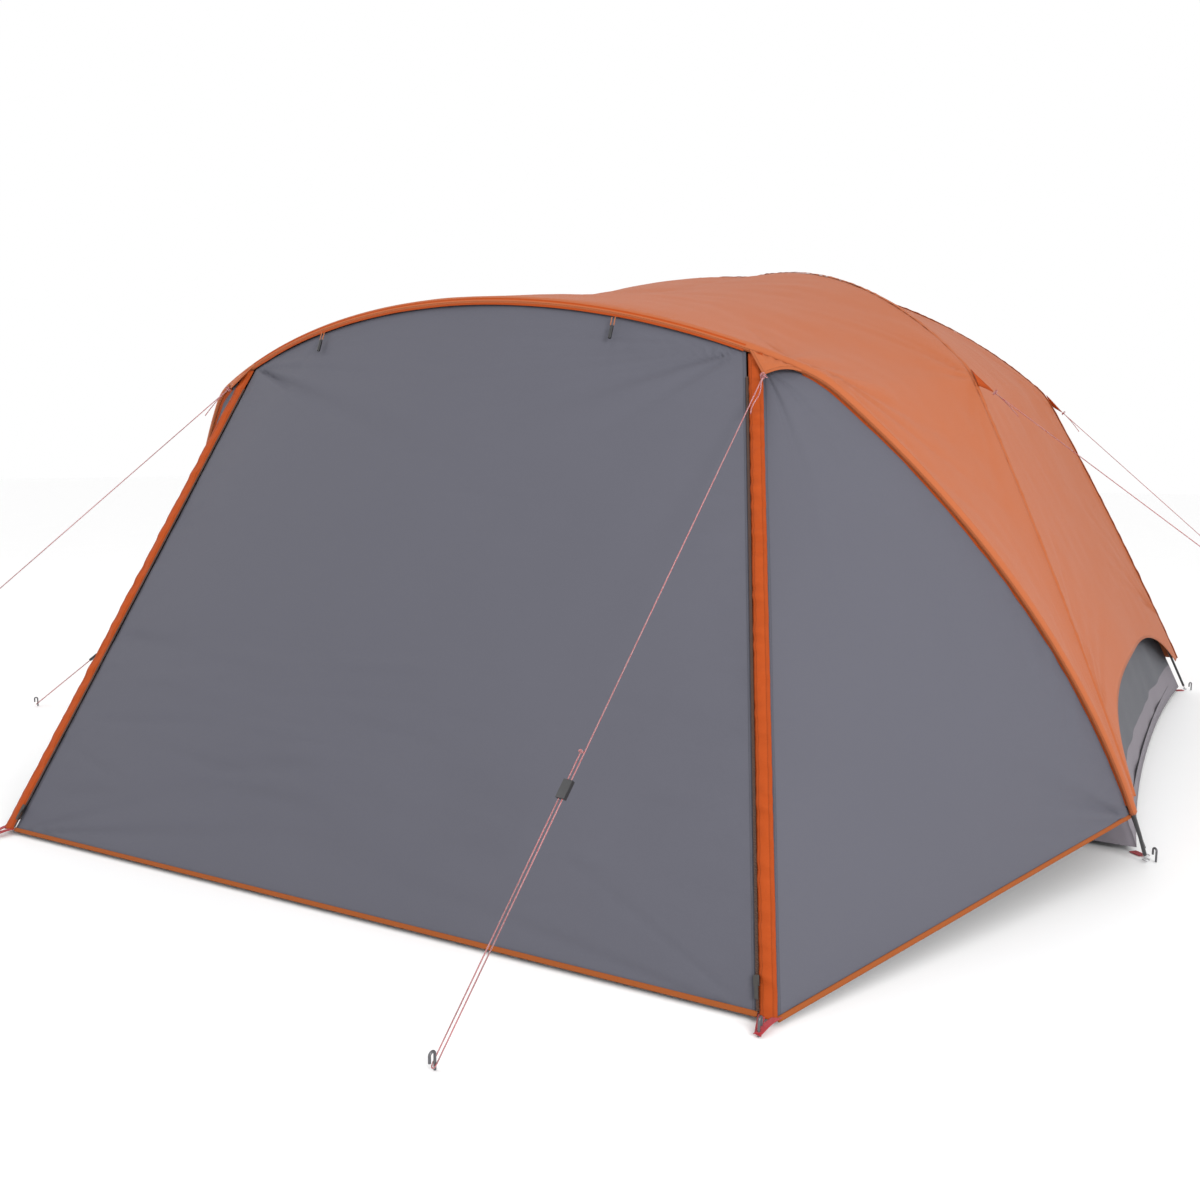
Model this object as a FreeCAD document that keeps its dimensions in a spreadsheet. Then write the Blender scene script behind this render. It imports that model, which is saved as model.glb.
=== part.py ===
import FreeCAD, Part

import math
import os

# A dome tent: two poles cross over a sleeping cabin, and a third pole leans forward over a closed porch.
# Origin at the centre of the footprint on the ground, +Z up, the porch faces -Y. Millimetres.

os.makedirs("parts", exist_ok=True)
V = FreeCAD.Vector
UP = V(0, 0, 1)
ACROSS = V(1, 0, 0)

doc = FreeCAD.newDocument("porch_dome_tent")
sheet = doc.addObject("Spreadsheet::Sheet", "dimensions")
DIMENSIONS = {
    "half_width": 1850, "front_foot_y": -673, "back_foot_y": 2206, "dome_height": 1950,
    "dome_arch_radius": 2384, "dome_elbow_half_width": 1415, "dome_leg_angle": 56,
    "pole_radius": 5.5, "pole_crossing_gap": 12, "pole_lift": 25,
    "hem_y": -2190, "hem_half_width": 1204, "hem_lift": 12, "porch_foot_y": -710, "brow_setback": 724,
    "brow_half_width": 863, "brow_height": 1449, "arch_height": 1603, "arch_radius": 2263,
    "elbow_half_width": 1010, "elbow_radius": 300, "leg_angle": 47,
    "fly_gap": 26, "fabric": 3, "seam": 1, "inner_drop": 25,
    "arch_cut_height": 500, "arch_cut_share": 0.974, "fly_bottom": 170,
    "strip_width": 40, "trim_depth": 26, "side_hem_end": 160, "door_top": 1445,
    "floor_half_width": 1795, "floor_half_length": 1392, "tray_height": 95, "floor_sheet": 3,
    "inner_wall_bottom": 104, "sill_height": 150, "inner_door_half_width": 430, "inner_door_height": 1180,
    "peg_wire": 3, "peg_bend": 14, "cord_diameter": 3, "strand_gap": 10, "slider_length": 44,
    "tab_width": 70, "tab_length": 80,
    "toggle_length": 38, "toggle_radius": 5, "zip_width": 6, "webbing_width": 25, "webbing": 2,
}
for row, (alias, value) in enumerate(DIMENSIONS.items(), start=1):
    sheet.set(f"A{row}", alias)
    sheet.set(f"B{row}", str(value))
    sheet.setAlias(f"B{row}", alias)
doc.recompute()


def size(alias):
    return float(sheet.get(alias))


NODES = []


def keep(obj, label):
    """Give an object the name of its node and put it on the list of pieces to write."""
    obj.Label = label
    NODES.append(obj)
    return obj


def piece(label, shape):
    feature = doc.addObject("Part::Feature", label)
    feature.Shape = shape
    return keep(feature, label)


def primitive(kind, name, placement, **sizes):
    """A Part primitive whose sizes are expressions on the sheet."""
    obj = doc.addObject(kind, name)
    for prop, expression in sizes.items():
        obj.setExpression(prop, expression)
    obj.Placement = placement
    return obj


def group(label, members):
    """Identical pieces that share one node as separate solids."""
    compound = doc.addObject("Part::Compound", label)
    compound.Links = members
    return keep(compound, label)


def extruded(name, edges, length):
    """A closed sketch on the XY plane, padded by a named length: the body it makes and its pad."""
    body = doc.addObject("PartDesign::Body", name)
    plane = [item for item in body.Origin.OriginFeatures if item.Role == "XY_Plane"][0]
    outline = body.newObject("Sketcher::SketchObject", name + "_outline")
    outline.AttachmentSupport = [(plane, "")]
    outline.MapMode = "FlatFace"
    for edge in edges:
        outline.addGeometry(edge, False)
    pad = body.newObject("PartDesign::Pad", name + "_pad")
    pad.Profile = outline
    pad.setExpression("Length", length)
    doc.recompute()
    return body, pad


def polygon_edges(points):
    corners = [V(x, y, 0) for x, y in points]
    return [Part.LineSegment(start, end) for start, end in zip(corners, corners[1:] + corners[:1])]


def frame_at(point, x_axis, y_axis):
    """A placement with its X and Y axes along two perpendicular directions."""
    return FreeCAD.Placement(point, FreeCAD.Rotation(x_axis, y_axis, x_axis.cross(y_axis), "ZXY"))


def unit(vector):
    return V(vector).normalize()


# --- the poles' curves: a flat arch, a tight elbow and a nearly straight leg ----------------------


def on_arc(centre, radius, angle):
    return (centre[0] + radius * math.sin(angle), centre[1] + radius * math.cos(angle))


def bent_pole(top, arch_radius, elbow_half_width, elbow_radius, elbow_end, foot):
    """Three tangent arcs from a pole's top to its foot, each as (centre, radius, start angle, end angle)."""
    elbow_start = math.asin(elbow_half_width / arch_radius)
    arch_centre = (0, top - arch_radius)
    elbow_centre = on_arc(on_arc(arch_centre, arch_radius, elbow_start), -elbow_radius, elbow_start)
    leg = on_arc(elbow_centre, elbow_radius, elbow_end)
    leg_end = 2 * math.atan(leg[1] / (foot - leg[0])) - elbow_end
    leg_radius = (foot - leg[0]) / (math.sin(leg_end) - math.sin(elbow_end))
    return [
        (arch_centre, arch_radius, 0.0, elbow_start),
        (elbow_centre, elbow_radius, elbow_start, elbow_end),
        (on_arc(leg, -leg_radius, elbow_end), leg_radius, elbow_end, leg_end),
    ]


def arc_lengths(arcs):
    return [radius * (end - start) for _, radius, start, end in arcs]


def on_pole(arcs, run, out=0.0):
    """(across, up) by the distance along a pole from its top, out from its centreline."""
    for number, ((centre, radius, start, _), length) in enumerate(zip(arcs, arc_lengths(arcs))):
        if run <= length or number == len(arcs) - 1:
            return on_arc(centre, radius + out, start + run / radius)
        run -= length


def run_where(arcs, up, out=0.0):
    """The distance along a pole at which it comes down to a height."""
    low, high = 0.0, sum(arc_lengths(arcs)) * 1.02
    for _ in range(50):
        middle = (low + high) / 2
        if on_pole(arcs, middle, out)[1] > up:
            low = middle
        else:
            high = middle
    return low


SEGMENT_ROWS = (8, 3, 7)


def rows_down(arcs, last):
    """Places along a pole down to last, closer together round its elbow."""
    arch, elbow, _ = arc_lengths(arcs)
    runs = [0.0]
    for stop, count in zip((arch, arch + elbow, last), SEGMENT_ROWS):
        start = runs[-1]
        runs += [start + (stop - start) * i / count for i in range(1, count + 1)]
    return runs


# --- the dome and the skins that follow it --------------------------------------------------------

half_width = size("half_width")
half_length = (size("back_foot_y") - size("front_foot_y")) / 2
centre_y = (size("back_foot_y") + size("front_foot_y")) / 2
foot_reach = math.hypot(half_width, half_length)


def dome_arcs(height):
    return bent_pole(
        height, size("dome_arch_radius"), size("dome_elbow_half_width"), size("elbow_radius"),
        math.radians(size("dome_leg_angle")), foot_reach,
    )


DOME_ARCS = dome_arcs(size("dome_height"))


def dome_point(offset, run, side_x, side_y):
    """Over one foot of the dome: run is along the pole from the top, offset is outside its centreline."""
    reach, z = on_pole(DOME_ARCS, run, offset)
    reach /= foot_reach
    return V(side_x * half_width * reach, centre_y + side_y * half_length * reach, z)


def dome_run(offset, z):
    return run_where(DOME_ARCS, z, offset)


# --- the porch pole, in its own leaning plane -----------------------------------------------------

lean = (size("porch_foot_y") - (size("hem_y") + size("brow_setback"))) / size("brow_height")
stretch = math.hypot(1, lean)
RISE = V(0, -lean, 1) / stretch
FRONT = V(0, -1, -lean) / stretch
arch_radius = size("arch_radius")
PORCH_ARCS = bent_pole(
    size("arch_height") * stretch, arch_radius, size("elbow_half_width"), size("elbow_radius"),
    math.radians(size("leg_angle")), half_width,
)
porch_half = sum(arc_lengths(PORCH_ARCS))


def porch_point(run, out=0.0, front=0.0, side=1):
    """A point by its distance along the pole from the top, out from the curve and in front of its plane."""
    x, rise = on_pole(PORCH_ARCS, run, out)
    return V(side * x, size("porch_foot_y"), 0) + RISE * rise + FRONT * front


def run_at_height(z):
    return run_where(PORCH_ARCS, z * stretch)


# --- skins made of flat facets --------------------------------------------------------------------


def facets(corners):
    """Faces over a loop of four points: one where they are flat, two triangles where they aren't."""
    loop = []
    for point in corners:
        if all((point - other).Length > 0.01 for other in loop):
            loop.append(point)
    if len(loop) < 3:
        return []
    if len(loop) == 4:
        normal = (loop[1] - loop[0]).cross(loop[2] - loop[0])
        if abs(normal.normalize().dot(loop[3] - loop[0])) > 1e-6:
            return facets(loop[:3]) + facets([loop[0], loop[2], loop[3]])
    return [Part.Face(Part.makePolygon(loop + loop[:1]))]


def slab(lower, upper):
    """A closed solid between two grids of points."""
    faces = []
    rows, columns = len(lower), len(lower[0])
    for i in range(rows - 1):
        for j in range(columns - 1):
            for grid in (lower, upper):
                faces += facets([grid[i][j], grid[i + 1][j], grid[i + 1][j + 1], grid[i][j + 1]])
    for i in range(rows - 1):
        for j in (0, columns - 1):
            faces += facets([lower[i][j], lower[i + 1][j], upper[i + 1][j], upper[i][j]])
    for j in range(columns - 1):
        for i in (0, rows - 1):
            faces += facets([lower[i][j], lower[i][j + 1], upper[i][j + 1], upper[i][j]])
    shell = Part.makeShell(faces)
    shell.sewShape()
    solid = Part.makeSolid(shell)
    if solid.Volume < 0:
        solid.reverse()
    return solid


def thicken(grid, thickness, outward):
    """Offset a grid of points along its own normals, on the side that outward points to."""
    rows, columns = len(grid), len(grid[0])
    upper = []
    for i in range(rows):
        line = []
        for j in range(columns):
            down = grid[min(i + 1, rows - 1)][j] - grid[max(i - 1, 0)][j]
            along = grid[i][min(j + 1, columns - 1)] - grid[i][max(j - 1, 0)]
            if down.Length < 0.1 or along.Length < 0.1:
                normal = V(outward)
            else:
                normal = down.cross(along)
            normal.normalize()
            if normal.dot(outward) < 0:
                normal = normal * -1
            line.append(grid[i][j] + normal * thickness)
        upper.append(line)
    return slab(grid, upper)


def between(start, end, share):
    return start + (end - start) * share


def mirrored(shape):
    return shape.mirror(V(0, 0, 0), ACROSS)


def pair(label, shape):
    piece(label + "_right", shape)
    piece(label + "_left", mirrored(shape))


def tube(points, radii, radius, label):
    """A round tube along straight runs joined by tangent arcs, one radius for each inner point."""
    edges = []
    start = points[0]
    for before, corner, after, bend in zip(points, points[1:], points[2:], radii):
        arriving, leaving = unit(corner - before), unit(after - corner)
        turn = arriving.getAngle(leaving)
        setback = bend * math.tan(turn / 2)
        enter, leave = corner - arriving * setback, corner + leaving * setback
        inward = unit(leaving - arriving)
        middle = corner + inward * (bend / math.cos(turn / 2) - bend)
        edges.append(Part.LineSegment(start, enter).toShape())
        edges.append(Part.Arc(enter, middle, leave).toShape())
        start = leave
    edges.append(Part.LineSegment(start, points[-1]).toShape())
    wire = Part.Wire(edges)
    profile = Part.Wire(Part.Circle(points[0], unit(points[1] - points[0]), radius).toShape())
    solid = wire.makePipeShell([profile], True, False)
    length = sum(edge.Length for edge in edges)
    share = solid.Volume / (math.pi * radius**2 * length)
    print(f"{label}: length {length:.0f} mm, bends {radii}, volume over section times length {share:.4f}")
    return solid


# --- poles ----------------------------------------------------------------------------------------


def sleeve(point, axis, length, inner, outer):
    base = point - axis * (length / 2)
    bore = Part.makeCylinder(inner, length, base, axis)
    return Part.makeCylinder(outer, length, base, axis).cut(bore)


FERRULE_LENGTH = 60
FERRULE_BORE = 6.2
FERRULE_RADIUS = 7.2
PIN_RADIUS = 3
RING_RADIUS = 9
RING_WIRE = 1.5
RING_HEIGHT = 8
CLIP_RADIUS = 7.5
CLIP_WIRE = 1.2

pole_ends = []
ferrules = []
clips = []


def sweep_pole(label, arcs, place, lift):
    """A round rod along both halves of a bent pole; place turns (run, side) into a point."""
    edges = []
    for side, order in ((-1, -1), (1, 1)):
        parts = []
        run = 0.0
        for number, length in enumerate(arc_lengths(arcs)):
            stop = run_where(arcs, lift) if number == len(arcs) - 1 else run + length
            parts.append(Part.Arc(*[place(at, side) for at in (run, (run + stop) / 2, stop)]).toShape())
            run = stop
        edges += parts[::order]
        pole_ends.append((place(run, side), unit(place(run + 1, side) - place(run - 1, side))))
    path = Part.Wire(Part.__sortEdges__(edges))
    first = path.OrderedVertexes[0].Point
    heading = pole_ends[-2][1] if (first - pole_ends[-2][0]).Length < 1 else pole_ends[-1][1]
    section = Part.Wire(Part.Circle(first, heading, size("pole_radius")).toShape())
    piece(label, path.makePipeShell([section], True, False))


FERRULE_SHARES = (0.2, 0.6)
CLIP_SHARES = (0.12, 0.3, 0.42, 0.7, 0.85)
for label, heading, gap in (("dome_pole_a", -1, 0), ("dome_pole_b", 1, size("pole_crossing_gap"))):
    arcs = dome_arcs(size("dome_height") + gap)
    level = V(half_width, heading * half_length, 0) / foot_reach

    def on_dome(run, side, arcs=arcs, level=level):
        reach, z = on_pole(arcs, run)
        return V(0, centre_y, z) + level * (side * reach)

    sweep_pole(label, arcs, on_dome, size("pole_lift"))
    whole = sum(arc_lengths(arcs))
    for side in (-1, 1):
        for share in FERRULE_SHARES + CLIP_SHARES:
            spot = on_dome(whole * share, side)
            axis = unit(on_dome(whole * share + 1, side) - on_dome(whole * share - 1, side))
            if share in FERRULE_SHARES:
                ferrules.append(sleeve(spot, axis, FERRULE_LENGTH, FERRULE_BORE, FERRULE_RADIUS))
            else:
                clips.append(Part.makeTorus(CLIP_RADIUS, CLIP_WIRE, spot, axis))



def on_porch(run, side):
    return porch_point(run, side=side)


sweep_pole("porch_pole", PORCH_ARCS, on_porch, size("pole_lift") * stretch)
PORCH_FERRULE_SHARES = (0.12, 0.52, 0.8)
for side in (-1, 1):
    for share in PORCH_FERRULE_SHARES:
        spot = porch_half * share
        axis = unit(on_porch(spot + 1, side) - on_porch(spot - 1, side))
        ferrules.append(sleeve(on_porch(spot, side), axis, FERRULE_LENGTH, FERRULE_BORE, FERRULE_RADIUS))

piece("pole_ferrules", Part.makeCompound(ferrules))
piece("inner_tent_clips", Part.makeCompound(clips))
pins = []
rings = []
for tip, axis in pole_ends:
    length = (tip.z - PIN_RADIUS) / -axis.z
    pins.append(Part.makeCylinder(PIN_RADIUS, length, tip, axis))
    at_ring = tip + axis * ((tip.z - RING_HEIGHT) / -axis.z)
    rings.append(Part.makeTorus(RING_RADIUS, RING_WIRE, at_ring, UP))
piece("pole_foot_pins", Part.makeCompound(pins))
piece("pin_rings", Part.makeCompound(rings))

# --- fly and inner tent walls ---------------------------------------------------------------------

def wall(inner_offset, outer_offset, bottom, along):
    """One quarter of the dome between two poles: along is the side that it faces, as (x, y)."""
    grids = []
    for offset in (inner_offset, outer_offset):
        grid = []
        for run in rows_down(DOME_ARCS, dome_run(offset, bottom)):
            if along[0]:
                ends = [dome_point(offset, run, along[0], side) for side in (-1, 1)]
            else:
                ends = [dome_point(offset, run, side, along[1]) for side in (-1, 1)]
            grid.append(ends)
        grids.append(grid)
    return slab(*grids)


def prism(outline, depth):
    """An outline of points pushed through by a vector."""
    return Part.Face(Part.makePolygon(outline + outline[:1])).extrude(depth)


def arch_cutter(along):
    """The low, square-shouldered arch that leaves the fly open between two feet, beside the two poles."""
    peak = size("arch_cut_height")
    half = half_length if along[0] else half_width
    below = -50
    steps = 24

    def beside(share, z):
        reach, _ = on_pole(DOME_ARCS, dome_run(size("fly_gap"), z), size("fly_gap"))
        return share * half * reach / foot_reach

    outline = []
    for i in range(steps + 1):
        across = math.cos(math.pi * (1 - i / steps))
        height = peak * (1 - abs(across) ** 4) ** 0.25
        outline.append((beside(across * size("arch_cut_share"), max(height, 1)), height))
    outline = [(outline[0][0], below), *outline, (outline[-1][0], below)]
    reach = 3000
    if along[0]:
        return prism([V(0, centre_y + across, z) for across, z in outline], V(along[0] * reach, 0, 0))
    return prism([V(across, centre_y, z) for across, z in outline], V(0, along[1] * reach, 0))


fly_inner = size("fly_gap")
fly_outer = fly_inner + size("fabric")
SIDES = {"right": (1, 0), "left": (-1, 0), "back": (0, 1)}
for name, along in SIDES.items():
    panel = wall(fly_inner, fly_outer, size("fly_bottom"), along)
    piece("fly_" + name, panel.cut(arch_cutter(along)))

inner_outer = -size("inner_drop")
inner_inner = inner_outer - size("fabric")
for name, along in SIDES.items():
    piece("inner_wall_" + name, wall(inner_inner, inner_outer, size("inner_wall_bottom"), along))


def door_outline(gap):
    """The inner door: straight sides under a round top."""
    half = size("inner_door_half_width") - gap
    sill = size("sill_height") + gap
    spring = size("sill_height") + size("inner_door_height") - size("inner_door_half_width")
    outline = [V(half, centre_y, sill)]
    steps = 12
    for i in range(steps + 1):
        turn = math.pi * i / steps
        outline.append(V(half * math.cos(turn), centre_y, spring + half * math.sin(turn)))
    outline.append(V(-half, centre_y, sill))
    return outline


front_wall = wall(inner_inner, inner_outer, size("inner_wall_bottom"), (0, -1))
REACH = V(0, -3000, 0)
piece("inner_wall_front", front_wall.cut(prism(door_outline(0), REACH)))
piece("inner_door", front_wall.common(prism(door_outline(2), REACH)))
hinge_z = size("sill_height") + 2
hinge_y = dome_point(inner_outer, dome_run(inner_outer, hinge_z), 0, -1).y
print(f"inner door hinge at y {hinge_y:.1f}, z {hinge_z:.1f}")

tray = primitive(
    "Part::Box", "tray_block", FreeCAD.Placement(),
    Length="2 * dimensions.floor_half_width", Width="2 * dimensions.floor_half_length",
    Height="dimensions.tray_height",
)
tray.setExpression("Placement.Base.x", "-dimensions.floor_half_width")
tray.setExpression(
    "Placement.Base.y", "(dimensions.back_foot_y + dimensions.front_foot_y) / 2 - dimensions.floor_half_length"
)
well = primitive(
    "Part::Box", "tray_well", FreeCAD.Placement(),
    Length="2 * (dimensions.floor_half_width - dimensions.floor_sheet)",
    Width="2 * (dimensions.floor_half_length - dimensions.floor_sheet)",
    Height="dimensions.tray_height",
)
well.setExpression("Placement.Base.x", "-dimensions.floor_half_width + dimensions.floor_sheet")
well.setExpression(
    "Placement.Base.y",
    "(dimensions.back_foot_y + dimensions.front_foot_y) / 2 - dimensions.floor_half_length + dimensions.floor_sheet",
)
well.setExpression("Placement.Base.z", "dimensions.floor_sheet")
floor_tray = doc.addObject("Part::Cut", "inner_floor")
floor_tray.Base = tray
floor_tray.Tool = well
keep(floor_tray, "inner_floor")

# The roof over the porch runs from the porch pole back to the front halves of the dome poles.
ROOF_COLUMNS = 5
POLE_CLEARANCE = 12
SEAM_SETBACK = 3
roof_grid = []
front_runs = rows_down(PORCH_ARCS, run_at_height(size("fly_bottom")))
rear_runs = rows_down(DOME_ARCS, dome_run(fly_inner, size("fly_bottom")))
steps = list(zip(front_runs, rear_runs))
for side, rows in ((1, steps[::-1]), (-1, steps[1:])):
    for front_run, rear_run in rows:
        front_edge = porch_point(front_run, out=POLE_CLEARANCE, side=side)
        rear_edge = dome_point(fly_inner, rear_run, side, -1) - V(0, SEAM_SETBACK, 0)
        roof_grid.append([between(front_edge, rear_edge, j / ROOF_COLUMNS) for j in range(ROOF_COLUMNS + 1)])
piece("fly_porch_roof", thicken(roof_grid, size("fabric"), V(0, -0.3, 1)))

# --- the porch front ------------------------------------------------------------------------------

SKIN_FRONT = 9
corner_foot = V(size("hem_half_width"), size("hem_y"), size("hem_lift"))


def arch_run(x):
    return arch_radius * math.asin(min(1.0, abs(x) / arch_radius))


def arch_edge(x, out=-6.0, front=SKIN_FRONT):
    return porch_point(arch_run(x), out, front, math.copysign(1, x))


DOOR_COLUMNS = 16
DOOR_ROWS = 6
HEADER_ROWS = 2
HEADER_GAP = 2
header_grid = []
door_grid = []
columns = []
for j in range(DOOR_COLUMNS + 1):
    share = 2 * j / DOOR_COLUMNS - 1
    top = arch_edge(share * size("brow_half_width"))
    bottom = V(share * size("hem_half_width"), size("hem_y"), size("hem_lift"))
    cut = max(0.004, (top.z - size("door_top")) / (top.z - bottom.z))
    gap = HEADER_GAP / (bottom - top).Length
    columns.append((top, bottom, cut, gap))
for i in range(HEADER_ROWS + 1):
    header_grid.append([between(top, bottom, cut * i / HEADER_ROWS) for top, bottom, cut, _ in columns])
for i in range(DOOR_ROWS + 1):
    level = i / DOOR_ROWS
    door_grid.append(
        [between(top, bottom, cut + gap + (1 - cut - gap) * level) for top, bottom, cut, gap in columns]
    )
FORWARD = V(0, -1, 0.45)
piece("porch_header", thicken(header_grid, size("fabric"), FORWARD))
piece("porch_door", thicken(door_grid, size("fabric"), FORWARD))

STRIP_FROM_DOOR = 6
strip_inner = STRIP_FROM_DOOR
strip_outer = strip_inner + size("strip_width")
side_start = strip_outer + 3 * size("seam")
STRIP_TOP_SHARE = 0.955
corner_top = arch_edge(size("brow_half_width"))
strip_grid = []
for share in (0.0, 0.5, STRIP_TOP_SHARE):
    line = between(corner_foot, corner_top, share)
    strip_grid.append([line + V(strip_inner, 0, 0), line + V(strip_outer, 0, 0)])
pair("corner_strip", thicken(strip_grid, size("fabric"), FORWARD))

SIDE_ROWS = 14
SIDE_COLUMNS = 6
side_top_x = size("brow_half_width") + side_start + 6
low_run = run_at_height(size("side_hem_end"))
side_grid = []
side_top = arch_edge(side_top_x, out=-20)
for i in range(SIDE_ROWS + 1):
    share = i / SIDE_ROWS
    near = between(corner_foot + V(side_start, 0, 0), side_top, share)
    far = porch_point(low_run + (arch_run(side_top_x) - low_run) * share, out=-20, front=SKIN_FRONT)
    side_grid.append([between(near, far, j / SIDE_COLUMNS) for j in range(SIDE_COLUMNS + 1)])
pair("porch_side", thicken(side_grid, size("fabric"), V(0.5, -1, 0)))

# Skins on the front of the porch hang down and forward from the arch.
HANG = unit(V(0, size("hem_y"), 0) - V(0, arch_edge(0).y, arch_edge(0).z))
OFF_SKIN = V(0, HANG.z, -HANG.y)
TRIM_OFF_SKIN = 7
TRIM_THICKNESS = 2
TRIM_STEPS = 12
trim_grid = []
for i in range(-TRIM_STEPS, TRIM_STEPS + 1):
    x = (size("brow_half_width") - 3) * i / TRIM_STEPS
    fold = arch_edge(x) + OFF_SKIN * TRIM_OFF_SKIN
    trim_grid.append([arch_edge(x, out=POLE_CLEARANCE, front=SKIN_FRONT), fold, fold + HANG * size("trim_depth")])
trim_outer = [[point + OFF_SKIN * TRIM_THICKNESS for point in line] for line in trim_grid]
piece("brow_trim", slab(trim_grid, trim_outer))

FLAP_FRONT = 17
FLAP_THICKNESS = 2
FLAP_INNER_X = 872
FLAP_OUTER_X = 1005
flap_tip = V(929, -1524, 1374)
flap_top = [arch_edge(x, 4, FLAP_FRONT) for x in (FLAP_INNER_X, FLAP_OUTER_X)]
flap_normal = unit((flap_top[1] - flap_top[0]).cross(flap_tip - flap_top[0]))
if flap_normal.y > 0:
    flap_normal = flap_normal * -1
flap = prism([*flap_top, flap_tip], flap_normal * FLAP_THICKNESS)
pair("peak_flap", flap)

# --- zips, toggles --------------------------------------------------------------------------------

zip_line = unit(corner_top - corner_foot)
door_normal = unit(ACROSS.cross(zip_line))
if door_normal.y > 0:
    door_normal = door_normal * -1
zip_side = unit(zip_line.cross(door_normal))
if zip_side.x < 0:
    zip_side = zip_side * -1
ZIP_IN_FRONT = 5
ZIP_THICKNESS = 1.6
ZIP_FROM_DOOR = 3
zip_start = corner_foot + V(ZIP_FROM_DOOR, 0, 0) + zip_line * 10 + door_normal * ZIP_IN_FRONT
zip_length = (corner_top - corner_foot).Length * STRIP_TOP_SHARE - 20


def bar(name, start, length, width, thickness):
    """A box along the zip, centred on its line."""
    box = primitive("Part::Box", name, FreeCAD.Placement())
    box.Length, box.Width, box.Height = length, width, thickness
    box.Placement = frame_at(start - zip_side * (width / 2), zip_line, zip_side)
    if box.Placement.Rotation.multVec(UP).dot(door_normal) < 0:
        box.Placement.Base = box.Placement.Base + door_normal * thickness
    return box


coil = bar("zip_coil", zip_start, zip_length, size("zip_width"), ZIP_THICKNESS)
doc.recompute()
pair("door_zip", coil.Shape)
SLIDER_BODY = (22, 13, 4)
PULL = (34, 8, 1.5)
SLIDER_REST = 50
slider_start = zip_start + zip_line * SLIDER_REST + door_normal * (ZIP_THICKNESS + 0.5)
slider_body = bar("zip_slider_body", slider_start, *SLIDER_BODY)
pull_tab = bar(
    "zip_pull", slider_start - zip_line * (PULL[0] - 8) + door_normal * (SLIDER_BODY[2] + 0.01), *PULL
)
doc.recompute()
bridge = bar("zip_bridge", slider_start + zip_line * 2, 4, 5, SLIDER_BODY[2] + 1)
doc.recompute()
pair("door_zip_slider", slider_body.Shape.fuse([pull_tab.Shape, bridge.Shape]))
print("zip line", [round(c, 5) for c in zip_line], "travel", round(zip_length - SLIDER_REST - 30))

TOGGLE_X = 510
TOGGLE_OFF_SKIN = 18
PIVOT_DROP = 14
pivot = arch_edge(TOGGLE_X) + OFF_SKIN * TOGGLE_OFF_SKIN + HANG * PIVOT_DROP
LOOP_DROP = 24
LOOP_WIRE = 1.5
toggle_body, pad = extruded("toggle_body", [Part.Circle(V(0, 0, 0), UP, size("toggle_radius"))],
                            "dimensions.toggle_length")
edge_names = [f"Edge{i}" for i, edge in enumerate(pad.Shape.Edges, start=1) if edge.Closed]
rounding = toggle_body.newObject("PartDesign::Fillet", "toggle_rounding")
rounding.Base = (pad, edge_names)
rounding.setExpression("Radius", "dimensions.toggle_radius / 2")
doc.recompute()
toggle = toggle_body.Shape.copy()
toggle.Placement = FreeCAD.Placement(
    pivot + HANG * (LOOP_DROP + 1), FreeCAD.Rotation(UP, HANG)
).multiply(toggle.Placement)
pair("door_toggle", toggle)
loop_half = 5
loop_path = []
loop_side = ACROSS * loop_half
for lateral in (-1, 1):
    start = pivot + loop_side * lateral
    loop_path.append(Part.makeCylinder(LOOP_WIRE, LOOP_DROP, start, HANG))
pair("toggle_loop", Part.makeCompound(loop_path))
print("toggle pivot", [round(c, 1) for c in pivot])

# --- webbing, pegs and guys -----------------------------------------------------------------------

WEBBING_START = 16
WEBBING_LIFT = 2
WEBBING_CLEARANCE = 8
straps = []
for side_x in (-1, 1):
    for side_y in (-1, 1):
        foot = V(side_x * half_width, centre_y + side_y * half_length, 0)
        corner = V(side_x * size("floor_half_width"), centre_y + side_y * size("floor_half_length"), 0)
        out = unit(foot - corner)
        sideways = UP.cross(out)
        length = (foot - corner).Length - RING_RADIUS - WEBBING_CLEARANCE
        strap = primitive(
            "Part::Box", f"strap_{len(straps)}", FreeCAD.Placement(),
            Width="dimensions.webbing_width", Height="dimensions.webbing",
        )
        strap.Length = length - WEBBING_START
        base = corner + out * WEBBING_START - sideways * (size("webbing_width") / 2) + UP * WEBBING_LIFT
        strap.Placement = frame_at(base, out, sideways)
        straps.append(strap)
group("foot_webbing", straps)

LOOP_POINTS = [(-22, 0), (-1, 0), (0, -30), (1, 0), (22, 0), (9, -62), (-9, -62)]
PEG_IN_LOOP = 52
LOOP_HOLE_RADIUS = 5
loop_edges = polygon_edges(LOOP_POINTS)
loop_edges.append(Part.Circle(V(0, -PEG_IN_LOOP, 0), UP, LOOP_HOLE_RADIUS))
loop_body, _ = extruded("corner_loop_body", loop_edges, "dimensions.webbing")
loop_at = corner_foot + V(strip_inner + size("strip_width") / 2, -6, -6)
corner_loop = loop_body.Shape.copy()
corner_loop.Placement = FreeCAD.Placement(loop_at, FreeCAD.Rotation())
pair("corner_loop", corner_loop)

PEG_STEM = 32
PEG_TAIL = 14


def peg(foot, toward):
    """The part of a hook peg that stands above the ground, hooking over towards a direction."""
    wire, bend = size("peg_wire"), size("peg_bend") / 2
    low = foot + UP * 0.5
    top = low + UP * PEG_STEM
    stem = Part.makeCylinder(wire, PEG_STEM, low, UP)
    side = toward.cross(UP)
    crown = Part.makeTorus(bend, wire, V(0, 0, 0), UP, -180, 180, 180)
    crown.Placement = frame_at(top + toward * bend, toward, UP)
    tail = Part.makeCylinder(wire, PEG_TAIL, top + toward * (2 * bend), UP * -1)
    return stem.fuse([crown, tail]).removeSplitter()


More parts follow.
